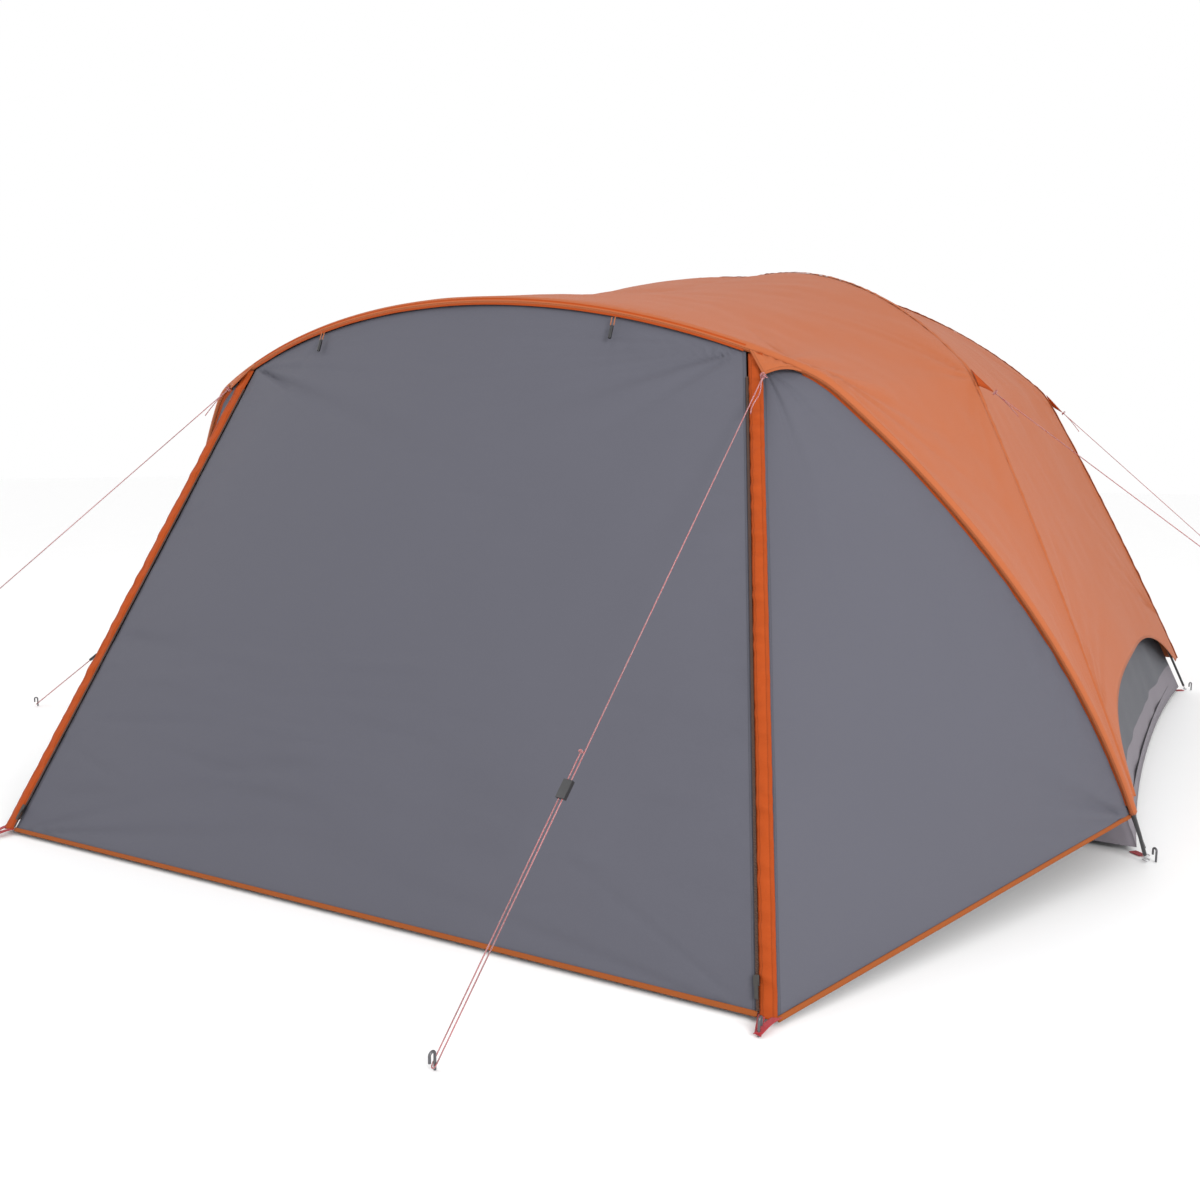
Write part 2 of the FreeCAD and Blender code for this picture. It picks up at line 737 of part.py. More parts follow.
PEG_PAST_FOOT = 34
fixed_pegs = []
for side in (-1, 1):
    spot = V(side * loop_at.x, loop_at.y - PEG_IN_LOOP, 0)
    fixed_pegs.append(peg(spot, V(0, 1, 0)))
    for side_y in (-1, 1):
        foot = V(side * half_width, centre_y + side_y * half_length, 0)
        away = unit(V(side, side_y, 0))
        fixed_pegs.append(peg(foot + away * PEG_PAST_FOOT, away * -1))
piece("corner_pegs", Part.makeCompound(fixed_pegs))

TAB_HEIGHT = 1442
TAB_OFF = 6
tab_run = dome_run(fly_outer, TAB_HEIGHT)
tab_tips = {}
tabs = []
GUYS = [
    # name, tab side x and y (0 for a porch corner), ground point, slider's distance from the peg
    ("1", 1, 0, V(736, -2674, 0), 575),
    ("2", -1, 0, V(-1978, -2611, 0), 575),
    ("3", -1, -1, V(-2759, -983, 0), 330),
    ("4", 1, -1, V(3055, 102, 0), 500),
    ("5", 1, 1, V(2764, 1770, 0), 500),
]
tab_grounds = [(side_x, side_y, ground) for _, side_x, side_y, ground, _ in GUYS if side_y]
tab_grounds.append((-1, 1, V(-2764, 1770, 0)))
for side_x, side_y, ground in tab_grounds:
    seam = dome_point(fly_outer + TAB_OFF, tab_run, side_x, side_y)
    step = dome_point(fly_outer + TAB_OFF, tab_run + 20, side_x, side_y)
    along = unit(step - seam)
    pull = unit(ground - seam)
    half = along * (size("tab_width") / 2)
    tip = seam + pull * size("tab_length")
    tab_tips[side_x, side_y] = tip
    tabs.append(prism([seam - half, seam + half, tip], unit(along.cross(pull)) * size("webbing")))
piece("guy_tabs", Part.makeCompound(tabs))

SLIDER_HALF_WIDTH = 12
SLIDER_HALF_DEPTH = 5
BORE_CLEARANCE = 0.6
strand = size("strand_gap") / 2
slider_edges = polygon_edges(
    [(x * SLIDER_HALF_WIDTH, y * SLIDER_HALF_DEPTH) for x, y in ((-1, -1), (1, -1), (1, 1), (-1, 1))]
)
for side in (-1, 1):
    slider_edges.append(Part.Circle(V(side * strand, 0, 0), UP, size("cord_diameter") / 2 + BORE_CLEARANCE))
slider_block, _ = extruded("slider_block", slider_edges, "dimensions.slider_length")

CORD_OFF_FLAP = 5
CORD_LOOP_HEIGHT = 14
LOOP_PAST_PEG = 5
TAIL_PAST_SLIDER = 70
CORD_START_GAP = 3
for name, side_x, side_y, ground, slider_at in GUYS:
    if side_y:
        anchor = tab_tips[side_x, side_y]
    else:
        anchor = V(side_x * flap_tip.x, flap_tip.y, flap_tip.z) + OFF_SKIN * CORD_OFF_FLAP
    low = ground + UP * CORD_LOOP_HEIGHT
    pull = unit(anchor - low)
    level = unit(V(pull.x, pull.y, 0))
    sideways = unit(pull.cross(UP))
    low = low - pull * LOOP_PAST_PEG
    side = sideways * strand
    top = anchor - pull * CORD_START_GAP
    reach = (top - low).dot(pull)
    tail = low - side + pull * (slider_at + size("slider_length") + TAIL_PAST_SLIDER)
    route = [low + side + pull * reach, low + side - pull * strand, low - side - pull * strand, tail]
    radii = [strand * 0.98, strand * 0.98]
    piece(f"guy_cord_{name}", tube(route, radii, size("cord_diameter") / 2, f"guy_cord_{name}"))
    piece(f"guy_peg_{name}", peg(ground, level * -1))
    runner = slider_block.Shape.copy()
    runner.Placement = frame_at(low + pull * slider_at, sideways, unit(pull.cross(sideways)))
    if runner.Placement.Rotation.multVec(UP).dot(pull) < 0:
        runner.Placement = frame_at(low + pull * slider_at, sideways * -1, unit(pull.cross(sideways)))
    piece(f"guy_slider_{name}", runner)
    numbers = [[round(c, 1) for c in point] for point in route]
    print(f"guy {name}: direction {[round(c, 5) for c in pull]}, route {numbers}")

# --- write ----------------------------------------------------------------------------------------

doc.recompute()
for obj in doc.Objects:
    if "Invalid" in obj.State or "Error" in obj.State:
        raise RuntimeError(f"{obj.Label} failed: {obj.State}")
for obj in NODES:
    if obj.Shape.isNull() or not obj.Shape.isValid() or not obj.Shape.Solids:
        raise RuntimeError(f"{obj.Label} has no valid solid")
    obj.Shape.exportStep(os.path.join("parts", obj.Label + ".step"))
print(f"{len(NODES)} nodes written")
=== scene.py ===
import math

import bpy
import numpy as np
from mathutils import Matrix, Vector


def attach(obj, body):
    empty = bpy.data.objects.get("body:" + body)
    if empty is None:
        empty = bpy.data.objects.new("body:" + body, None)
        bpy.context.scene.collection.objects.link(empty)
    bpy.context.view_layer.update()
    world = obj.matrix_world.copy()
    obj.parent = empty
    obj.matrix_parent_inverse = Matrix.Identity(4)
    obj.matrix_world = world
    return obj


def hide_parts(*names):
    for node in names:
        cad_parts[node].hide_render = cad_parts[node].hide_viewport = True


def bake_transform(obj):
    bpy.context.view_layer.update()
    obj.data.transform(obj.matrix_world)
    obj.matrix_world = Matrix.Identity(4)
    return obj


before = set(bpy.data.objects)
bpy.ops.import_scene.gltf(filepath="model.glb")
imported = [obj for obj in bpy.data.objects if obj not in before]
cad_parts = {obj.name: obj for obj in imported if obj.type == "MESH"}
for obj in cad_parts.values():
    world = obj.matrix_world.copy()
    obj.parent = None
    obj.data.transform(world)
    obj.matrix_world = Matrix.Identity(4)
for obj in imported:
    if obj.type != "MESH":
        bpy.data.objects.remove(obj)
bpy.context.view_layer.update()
SCENE = bpy.context.scene


def placed(name, data):
    """A new object in the scene."""
    made = bpy.data.objects.new(name, data)
    SCENE.collection.objects.link(made)
    return made



# ---- The tent's own curves, in metres, in the row frame: the same arcs as the CAD model's.

HALF_WIDTH = 1.850
FRONT_FOOT_Y = -0.673
BACK_FOOT_Y = 2.206
DOME_HEIGHT = 1.950
HALF_LENGTH = (BACK_FOOT_Y - FRONT_FOOT_Y) / 2
CENTRE_Y = (BACK_FOOT_Y + FRONT_FOOT_Y) / 2
REACH = math.hypot(HALF_WIDTH, HALF_LENGTH)
FLY_OFFSET = 0.0275
INNER_OFFSET = -0.0265

HEM_Y = -2.190
HEM_HALF = 1.204
HEM_Z = 0.012
PORCH_CORNER = np.array([HEM_HALF, HEM_Y, HEM_Z])
BOTH = (("right", 1), ("left", -1))
PORCH_FOOT_Y = -0.710
BROW_HALF = 0.863
BROW_RISE = 1.449
BROW_BACK = 0.724
LEAN = (PORCH_FOOT_Y - (HEM_Y + BROW_BACK)) / BROW_RISE
STRETCH = math.hypot(1, LEAN)
RISE = np.array([0, -LEAN, 1]) / STRETCH
FRONT = np.array([0, -1, -LEAN]) / STRETCH
SKIN_FRONT = 0.009


def on_arc(centre, radius, angle):
    return centre[0] + radius * np.sin(angle), centre[1] + radius * np.cos(angle)


def bent_pole(top, arch_radius, elbow_half_width, elbow_radius, elbow_end, foot):
    """Three tangent arcs, from the top: a flat arch, a tight elbow and a nearly straight leg."""
    elbow_start = math.asin(elbow_half_width / arch_radius)
    arch_centre = (0, top - arch_radius)
    elbow_centre = on_arc(on_arc(arch_centre, arch_radius, elbow_start), -elbow_radius, elbow_start)
    leg = on_arc(elbow_centre, elbow_radius, elbow_end)
    leg_end = 2 * math.atan(leg[1] / (foot - leg[0])) - elbow_end
    leg_radius = (foot - leg[0]) / (math.sin(leg_end) - math.sin(elbow_end))
    return [
        (arch_centre, arch_radius, 0.0, elbow_start),
        (elbow_centre, elbow_radius, elbow_start, elbow_end),
        (on_arc(leg, -leg_radius, elbow_end), leg_radius, elbow_end, leg_end),
    ]


def on_pole(arcs, run, out=0.0):
    """(across, up) by the distance along a pole from its top, out from its centreline. Arrays broadcast."""
    run, out = np.broadcast_arrays(np.asarray(run, float), np.asarray(out, float))
    across, up = np.zeros(run.shape), np.zeros(run.shape)
    passed = 0.0
    for number, (centre, radius, start, end) in enumerate(arcs):
        place = on_arc(centre, radius + out, start + (run - passed) / radius)
        here = run >= passed if number else run < np.inf
        across, up = np.where(here, place[0], across), np.where(here, place[1], up)
        passed += radius * (end - start)
    return across, up


def pole_length(arcs):
    return sum(radius * (end - start) for _, radius, start, end in arcs)


def run_where(arcs, height, out=0.0):
    """The distance along a pole at which it comes down to a height."""
    runs = np.linspace(0, pole_length(arcs) * 1.03, 6000)
    return np.interp(-np.asarray(height, float), -on_pole(arcs, runs, out)[1], runs)


ELBOW_RADIUS = 0.300
DOME_ARCS = bent_pole(DOME_HEIGHT, 2.384, 1.415, ELBOW_RADIUS, math.radians(56), REACH)
PORCH_HEIGHT = 1.603
ARCH_RADIUS = 2.263
PORCH_ARCS = bent_pole(PORCH_HEIGHT * STRETCH, ARCH_RADIUS, 1.010, ELBOW_RADIUS, math.radians(47), HALF_WIDTH)
ARCH_LENGTH = ARCH_RADIUS * PORCH_ARCS[0][3]


def dome_point(offset, run, side_x, side_y):
    """Over one foot of the dome: run is along the pole from the top, offset is outside its centreline."""
    reach, z = on_pole(DOME_ARCS, run, offset)
    x = side_x * HALF_WIDTH * reach / REACH
    y = CENTRE_Y + side_y * HALF_LENGTH * reach / REACH
    return np.stack(np.broadcast_arrays(x, y, z), -1)


def dome_run(offset, z):
    return run_where(DOME_ARCS, z, offset)


def porch_point(run, out=0.0, front=0.0, side=1.0):
    """By distance along the porch pole from its top, out from the curve and in front of its leaning plane."""
    run, out, front, side = np.broadcast_arrays(*[np.asarray(a, float) for a in (run, out, front, side)])
    across, rise = on_pole(PORCH_ARCS, run, out)
    place = np.array([0, PORCH_FOOT_Y, 0]) + rise[..., None] * RISE + front[..., None] * FRONT
    place[..., 0] = side * across
    return place


def run_at(z):
    return float(run_where(PORCH_ARCS, z * STRETCH))


ELBOW_SHARE = 0.40


def matched_runs(first, last, count):
    """Places along the dome pole and the porch pole that pass their elbows together."""
    share = np.linspace(0, 1, count)
    at = [0, ELBOW_SHARE, ELBOW_SHARE + 0.06, 1]
    places = []
    for arcs, stop in ((DOME_ARCS, first), (PORCH_ARCS, last)):
        knots = [0, arcs[0][1] * arcs[0][3], pole_length(arcs[:2]), stop]
        places.append(np.interp(share, at, knots))
    return places


def arch_run(x):
    """The distance along the porch pole's arch from its top, by distance across."""
    return ARCH_RADIUS * np.arcsin(np.abs(x) / ARCH_RADIUS)


def arch_edge(x, out=-0.006, front=SKIN_FRONT):
    x = np.asarray(x, float)
    return porch_point(arch_run(x), out, front, np.where(x < 0, -1.0, 1.0))


CROWN = arch_edge(0.0)
HANG = np.array([0, HEM_Y - CROWN[1], -CROWN[2]])
HANG = HANG / np.linalg.norm(HANG)
OFF_SKIN = np.array([0, HANG[2], -HANG[1]])

# ---- Camera: a three-quarter view from the front right at chest height.

CAMERA_PLACE = (2.006, -4.375, 1.170)
CAMERA_YAW = math.radians(28.43)
CAMERA_DIP = math.radians(7.12)
CAMERA_ROLL = math.radians(0.53)
camera_data = bpy.data.cameras.new("camera")
camera_data.lens = 35.0
camera_data.sensor_width = 36.0
camera = placed("camera", camera_data)
camera.matrix_world = (
    Matrix.Translation(CAMERA_PLACE)
    @ Matrix.Rotation(CAMERA_YAW, 4, "Z")
    @ Matrix.Rotation(math.pi / 2 - CAMERA_DIP, 4, "X")
    @ Matrix.Rotation(CAMERA_ROLL, 4, "Z")
)
SCENE.camera = camera

# ---- Materials


class Nodes:
    """Short calls for a material's node tree."""

    def __init__(self, name, roughness, sheen=0.0, metallic=0.0, coat=0.0, gloss=0.5):
        self.material = bpy.data.materials.new(name)
        self.material.use_nodes = True
        self.tree = self.material.node_tree
        self.shader = self.tree.nodes["Principled BSDF"]
        self.shader.inputs["Roughness"].default_value = roughness
        self.shader.inputs["Sheen Weight"].default_value = sheen
        self.shader.inputs["Sheen Roughness"].default_value = 0.45
        self.shader.inputs["Metallic"].default_value = metallic
        self.shader.inputs["Coat Weight"].default_value = coat
        self.shader.inputs["Specular IOR Level"].default_value = gloss

    @classmethod
    def within(cls, material):
        """The same calls for a material that is already made."""
        nodes = cls.__new__(cls)
        nodes.material, nodes.tree = material, material.node_tree
        nodes.shader = nodes.tree.nodes["Principled BSDF"]
        return nodes

    def add(self, kind, **values):
        node = self.tree.nodes.new(kind)
        for key, value in values.items():
            if key in node.inputs:
                node.inputs[key].default_value = value
            else:
                setattr(node, key, value)
        return node

    def link(self, source, target):
        self.tree.links.new(source, target)

    def math(self, operation, first, second=None, third=None):
        node = self.tree.nodes.new("ShaderNodeMath")
        node.operation = operation
        for socket, value in zip(node.inputs, (first, second, third)):
            if value is None:
                continue
            if isinstance(value, (int, float)):
                socket.default_value = value
            else:
                self.link(value, socket)
        return node.outputs[0]

    def place(self):
        return self.add("ShaderNodeTexCoord").outputs["Object"]

    def split(self, vector):
        node = self.add("ShaderNodeSeparateXYZ")
        self.link(vector, node.inputs[0])
        return node.outputs["X"], node.outputs["Y"], node.outputs["Z"]

    def waves(self, value, length):
        """A sine that repeats over a length."""
        return self.math("SINE", self.math("MULTIPLY", value, math.tau / length))

    def noise(self, vector, scale, detail=3.0):
        node = self.add("ShaderNodeTexNoise", Scale=scale, Detail=detail)
        self.link(vector, node.inputs["Vector"])
        return node.outputs["Fac"]

    def grain(self, colour, scale, detail, tones, depth, strength):
        """Noise that both mottles a colour between two tones and roughens the surface."""
        noise = self.noise(self.place(), scale, detail)
        self.colour(self.mix(noise, shade(colour, tones[0]), shade(colour, tones[1])))
        self.bump(noise, depth, strength)
        return noise

    def mix(self, factor, first, second):
        node = self.add("ShaderNodeMix", data_type="RGBA")
        self.link(factor, node.inputs["Factor"])
        for name, value in (("A", first), ("B", second)):
            socket = [s for s in node.inputs if s.name == name and s.type == "RGBA"][0]
            if isinstance(value, tuple):
                socket.default_value = (*value, 1.0)
            else:
                self.link(value, socket)
        return [s for s in node.outputs if s.type == "RGBA"][0]

    def ramp(self, value, low, high, bottom=0.0, top=1.0):
        """A value's range from low to high spread over bottom to top."""
        node = self.add("ShaderNodeMapRange")
        self.link(value, node.inputs["Value"])
        for key, number in {"From Min": low, "From Max": high, "To Min": bottom, "To Max": top}.items():
            node.inputs[key].default_value = number
        return node.outputs["Result"]

    def bump(self, height, distance, strength=1.0):
        node = self.add("ShaderNodeBump", Strength=strength, Distance=distance)
        self.link(height, node.inputs["Height"])
        self.link(node.outputs["Normal"], self.shader.inputs["Normal"])

    def rough(self, value, low, high):
        self.link(self.ramp(value, 0, 1, low, high), self.shader.inputs["Roughness"])

    def colour(self, value):
        self.link(value, self.shader.inputs["Base Color"])


def shade(colour, factor):
    return tuple(min(1.0, c * factor) for c in colour)


def woven(nodes, u, v, pitch):
    """Plain weave: warp and weft threads that pass over each other in turn."""
    return nodes.math("MULTIPLY", nodes.waves(u, pitch), nodes.waves(v, pitch))


HEM_FOLD = 0.011
STITCH_LINE = 0.009
STITCH_WIDTH = 0.0012
STITCH_PITCH = math.tau / 1500


def fabric(name, colour, pitch=0.0011, roughness=0.62, sheen=0.015, seams=True):
    """Coated taffeta: fine weave, soft unevenness, faint creases, and stitched edges where it is doubled."""
    nodes = Nodes(name, roughness, sheen, gloss=0.12)
    uv = nodes.add("ShaderNodeUVMap").outputs["UV"]
    u, v, _ = nodes.split(uv)
    weave = woven(nodes, u, v, pitch)
    blotch = nodes.noise(uv, 2.2, 4.0)
    slub = nodes.noise(uv, 190.0, 2.0)
    base = nodes.mix(blotch, shade(colour, 0.94), shade(colour, 1.06))
    base = nodes.mix(nodes.ramp(slub, 0.2, 0.8), base, shade(colour, 1.03))
    if seams:
        edge = nodes.add("ShaderNodeAttribute", attribute_name="edge_distance").outputs["Fac"]
        doubled = nodes.math("LESS_THAN", edge, HEM_FOLD)
        base = nodes.mix(nodes.math("MULTIPLY", doubled, 0.5), base, shade(colour, 0.78))
        off_line = nodes.math("ABSOLUTE", nodes.math("SUBTRACT", edge, STITCH_LINE))
        on_line = nodes.math("LESS_THAN", off_line, STITCH_WIDTH / 2)
        dashes = nodes.math("GREATER_THAN", nodes.waves(nodes.math("ADD", u, v), STITCH_PITCH), -0.3)
        stitches = nodes.math("MULTIPLY", on_line, dashes)
        base = nodes.mix(stitches, base, shade(colour, 0.45))
    nodes.colour(base)
    crinkle = nodes.noise(uv, 26.0, 6.0)
    height = nodes.math("ADD", nodes.math("MULTIPLY", weave, 0.06), nodes.math("MULTIPLY", crinkle, 0.9))
    nodes.bump(height, 0.0022, 0.55)
    nodes.rough(blotch, roughness - 0.07, roughness + 0.07)
    return nodes.material


def webbing(name, colour, rib=0.0016):
    nodes = Nodes(name, 0.7, 0.2)
    x, y, _ = nodes.split(nodes.place())
    ribs = woven(nodes, x, y, rib)
    # Darker in the troughs of the weave and lighter on its crests: painted shade and highlight, from the same
    # ribs as the bump.
    nodes.colour(nodes.mix(nodes.ramp(ribs, -1, 1), shade(colour, 0.6), shade(colour, 1.1)))
    nodes.bump(ribs, 0.0005, 0.8)
    return nodes.material


def moulded(name, colour, roughness=0.42):
    nodes = Nodes(name, roughness, coat=0.1)
    nodes.grain(colour, 900.0, 3.0, (0.85, 1.25), 0.0002, 0.5)
    nodes.rough(nodes.noise(nodes.place(), 40.0), roughness - 0.08, roughness + 0.1)
    return nodes.material


def metal(name, colour, roughness=0.32):
    nodes = Nodes(name, roughness, metallic=1.0)
    nodes.grain(colour, 260.0, 6.0, (0.75, 1.1), 0.0003, 0.35)
    nodes.rough(nodes.noise(nodes.place(), 60.0, 4.0), roughness - 0.1, roughness + 0.18)
    return nodes.material


def rod(name, colour):
    """Pultruded fibreglass: glossy, with fine streaks."""
    nodes = Nodes(name, 0.28, coat=0.3)
    streaks = nodes.grain(colour, 420.0, 5.0, (0.6, 1.6), 0.0002, 0.3)
    nodes.rough(streaks, 0.22, 0.4)
    return nodes.material


STRANDS_A_METRE = 260.0
STRANDS_AROUND = 6.0


def braided(name, colour, tracer, turn=0.011):
    """Braided cord: diagonal strands with a reflective tracer that spirals round it."""
    nodes = Nodes(name, 0.6, 0.15)
    uv = nodes.add("ShaderNodeUVMap").outputs["UV"]
    around, along, _ = nodes.split(uv)
    twist = nodes.math("ADD", nodes.math("MULTIPLY", along, 1 / turn), around)
    stripe = nodes.math("LESS_THAN", nodes.math("FRACT", twist), 0.30)
    lengthways = nodes.math("MULTIPLY", along, STRANDS_A_METRE)
    round_it = nodes.math("MULTIPLY", around, STRANDS_AROUND)
    left, right = (nodes.waves(nodes.math(way, lengthways, round_it), 1) for way in ("ADD", "SUBTRACT"))
    braid = nodes.math("MAXIMUM", left, right)
    # Darker in the grooves between strands: painted shade, from the same waves as the bump.
    body = nodes.mix(nodes.ramp(braid, -0.6, 1.0), shade(colour, 0.55), colour)
    nodes.colour(nodes.mix(stripe, body, tracer))
    nodes.bump(braid, 0.0003, 0.7)
    return nodes.material


def zip_tape(name, colour):
    """A coil zip: close cross teeth along the tape."""
    nodes = Nodes(name, 0.5)
    teeth = nodes.waves(nodes.split(nodes.place())[2], 0.0022)
    # Dark between the teeth and lighter than the tape on them: painted shade and highlight, from the same
    # teeth as the bump.
    nodes.colour(nodes.mix(nodes.ramp(teeth, -1, 1), shade(colour, 0.5), shade(colour, 1.4)))
    nodes.bump(teeth, 0.0006, 0.8)
    return nodes.material


# Height on the inner walls above which their colour is darkened as painted shade of the fly.
FLY_SHADE_LINE = 0.135
ORANGE = (0.43, 0.118, 0.042)
GRAY = (0.104, 0.104, 0.127)
MATERIALS = {
    "roof": fabric("fabric_orange", ORANGE, roughness=0.55),
    "strip": fabric("fabric_burnt_orange", (0.40, 0.064, 0.009)),
    "binding": fabric("fabric_binding", (0.30, 0.080, 0.020), roughness=0.75, seams=False),
    "gray": fabric("fabric_gray", GRAY, roughness=0.55),
    "floor": fabric("fabric_floor", (0.045, 0.045, 0.052), pitch=0.002, roughness=0.5),
    "webbing": webbing("webbing_red", (0.50, 0.006, 0.018)),
    "pole": rod("fibreglass", (0.016, 0.016, 0.018)),
    "steel": metal("steel", (0.62, 0.62, 0.63)),
    "peg": metal("peg_wire", (0.16, 0.16, 0.17), 0.38),
    "plastic": moulded("plastic_black", (0.014, 0.014, 0.016)),
    "zip": zip_tape("zip_coil", (0.09, 0.045, 0.03)),
    "cord": braided("cord_red", (0.42, 0.008, 0.020), (0.66, 0.60, 0.60)),
    "loop_cloth": webbing("loop_orange", (0.55, 0.16, 0.04), 0.0009),
    "slider": metal("zip_slider", (0.10, 0.095, 0.09), 0.4),
}


def fly_shaded_inner():
    """Inner walls: pale cloth along the foot, and above a set height a darker colour that is painted shade of
    the fly over them.
    """
    # The base colour is the inner cloth darkened as painted shade of the fly.
    material = fabric("fabric_inner_fly_shaded", (0.105, 0.108, 0.122))
    nodes = Nodes.within(material)
    dark = nodes.shader.inputs["Base Color"].links[0].from_socket
    # Below the set height the pale colour stays; above it the painted shade of the fly.
    low = nodes.math("LESS_THAN", nodes.split(nodes.place())[2], FLY_SHADE_LINE)
    nodes.colour(nodes.mix(low, dark, (0.21, 0.19, 0.215)))
    return material


def studio_paper():
    nodes = Nodes("studio_paper", 0.9)
    place = nodes.place()
    nodes.colour(nodes.mix(nodes.noise(place, 3.0), (0.97, 0.97, 0.97), (0.99, 0.99, 0.99)))
    return nodes.material


MATERIALS["inner"] = fly_shaded_inner()
MATERIALS["studio"] = studio_paper()

# ---- Cloth: a grid of points becomes a thin closed sheet with a cut pattern for its weave.

RANDOM = np.random.default_rng(11)
CLOTH = 0.0012
FACING = (0, -1, 0.4)


def unit(vector):
    vector = np.asarray(vector, float)
    return vector / np.linalg.norm(vector)


def between(start, end, share):
    share = np.asarray(share, float)[..., None]
    return start * (1 - share) + end * share


def normals(grid, outward):
    down = np.gradient(grid, axis=0)
    along = np.gradient(grid, axis=1)
    normal = np.cross(down, along)
    normal /= np.maximum(np.linalg.norm(normal, axis=-1, keepdims=True), 1e-12)
    flipped = float((normal * np.asarray(outward, float)).sum()) < 0
    return (-normal if flipped else normal), flipped


def pushed(grid, outward, amount):
    """A grid with each point moved along the surface's normal there."""
    return grid + normals(grid, outward)[0] * amount[..., None]


def lengths(grid, axis):
    """How far along its own row or column each point of a grid lies."""
    steps = np.linalg.norm(np.diff(grid, axis=axis), axis=-1)
    start = np.zeros_like(np.take(steps, [0], axis=axis))
    return np.cumsum(np.concatenate([start, steps], axis=axis), axis=axis)


def ripple(points, wavelength, stretch=(1, 1, 1), waves=10):
    """Smooth unevenness of crossing waves, about -1 to 1, drawn out along directions with a large stretch."""
    total = np.zeros(points.shape[:-1])
    for _ in range(waves):
        direction = unit(RANDOM.normal(size=3)) / np.asarray(stretch, float)
        step = math.tau / (wavelength * RANDOM.uniform(0.7, 1.6))
        total += np.sin(points @ direction * step + RANDOM.uniform(0, math.tau))
    return total * 0.9 / math.sqrt(waves)


def fan(points, corner, toward, across, reach, depth, spread=0.7, count=7, width=0.06):
    """Creases that spread from a corner where the cloth is pulled."""
    offset = points - np.asarray(corner, float)
    distance = np.linalg.norm(offset, axis=-1)
    angle = np.arctan2(offset @ unit(across), offset @ unit(toward))
    total = np.zeros(points.shape[:-1])
    for _ in range(count):
        place, wide = RANDOM.uniform(-spread, spread), width * RANDOM.uniform(0.6, 1.5)
        total += RANDOM.uniform(0.4, 1.0) * np.exp(-(((angle - place) / wide) ** 2))
    return depth * total * np.minimum(1, distance / 0.06) * np.exp(-distance / reach)


def folds(points, box, along, count, length, width, depth):
    """Short soft creases in the porch front that lie along one direction, scattered over a box."""
    total = np.zeros(points.shape[:-1])
    along, across = unit(along), unit(HANG)
    for _ in range(count):
        offset = points - RANDOM.uniform(*box)
        tilt = RANDOM.normal(0, 0.12)
        lengthways = offset @ (along + across * tilt) / (length * RANDOM.uniform(0.4, 1.3))
        crossways = offset @ (across - along * tilt) / (width * RANDOM.uniform(0.6, 1.6))
        strength = RANDOM.uniform(0.3, 1.0) * RANDOM.choice([-1, 1])
        total += strength * np.exp(-(lengthways**2) - crossways**2)
    return depth * total


def pinned(grid, fade=0.05):
    """0 at a sheet's edges, 1 away from them, so that what it is sewn to still meets it."""
    across, down = lengths(grid, 1), lengths(grid, 0)
    edge = np.minimum.reduce([across, across[:, -1:] - across, down, down[-1:] - down])
    return 1 - np.exp(-edge / fade)


def build_mesh(name, vertices, faces, material, smooth=True):
    mesh = bpy.data.meshes.new(name)
    mesh.from_pydata([tuple(v) for v in vertices], [], [tuple(int(i) for i in f) for f in faces])
    mesh.polygons.foreach_set("use_smooth", [smooth] * len(mesh.polygons))
    mesh.materials.append(material)
    return placed(name, mesh)


def fitted(piece, body="tent"):
    """A piece that rides on a body, when one is given."""
    if body:
        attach(piece, body)
    return piece


def paint_uv(mesh, uv):
    corners = np.empty(len(mesh.loops), int)
    mesh.loops.foreach_get("vertex_index", corners)
    layer = mesh.uv_layers.new(name="UVMap")
    layer.data.foreach_set("uv", uv[corners].astype(np.float32).ravel())


def cloth(name, grid, look, body="tent", outward=FACING, hems="", thickness=CLOTH):
    """A closed thin sheet over a grid. hems names the borders that are folded and stitched: T, B, L and R."""
    normal, flipped = normals(grid, outward)
    rows, columns = grid.shape[:2]
    count = rows * columns
    vertices = np.concatenate([(grid + normal * side * thickness / 2).reshape(-1, 3) for side in (1, -1)])
    index = np.arange(count).reshape(rows, columns)
    quads = np.stack([index[:-1, :-1], index[1:, :-1], index[1:, 1:], index[:-1, 1:]], -1).reshape(-1, 4)
    ring = np.concatenate([index[0, :-1], index[:-1, -1], index[-1, :0:-1], index[:0:-1, 0]])
    after = np.roll(ring, -1)
    rim = np.stack([ring, after, after + count, ring + count], -1)
    faces = np.concatenate([quads, quads[:, ::-1] + count, rim])
    piece = build_mesh(name, vertices, faces[:, ::-1] if flipped else faces, MATERIALS[look])
    across, down = lengths(grid, 1), lengths(grid, 0)
    across = across - across[:, -1:] / 2
    uv = np.stack([across, down], -1).reshape(-1, 2)
    paint_uv(piece.data, np.concatenate([uv, uv]))
    borders = {"T": down, "B": down[-1:] - down, "L": lengths(grid, 1), "R": across[:, -1:] - across}
    edge = np.minimum.reduce([borders[key] for key in hems] or [np.full(grid.shape[:2], 9.0)]).ravel()
    layer = piece.data.attributes.new("edge_distance", "FLOAT", "POINT")
    layer.data.foreach_set("value", np.concatenate([edge, edge]).astype(np.float32))
    return fitted(piece, body)


def ribbon(name, line, across, look, body="tent", thickness=0.0016, outward=FACING, pucker=0.0):
    """A narrow strip along a line of points, with its width as a vector at each point."""
    shares = np.linspace(-0.5, 0.5, 5)
    grid = np.asarray(line)[:, None, :] + np.asarray(across)[..., None, :] * shares[None, :, None]
    if pucker:
        grid = pushed(grid, outward, pucker * ripple(grid, 0.035))
    return cloth(name, grid, look, body, outward, "", thickness)


def round_curve(name, kind, points, radius, resolution):
    curve = bpy.data.curves.new(name, "CURVE")
    curve.dimensions = "3D"
    curve.bevel_depth = radius
    curve.bevel_resolution = resolution
    curve.use_fill_caps = True
    spline = curve.splines.new(kind)
    spline.points.add(len(points) - 1)
    for place, point in zip(spline.points, points):
        place.co = (*point, 1)
    return curve, spline


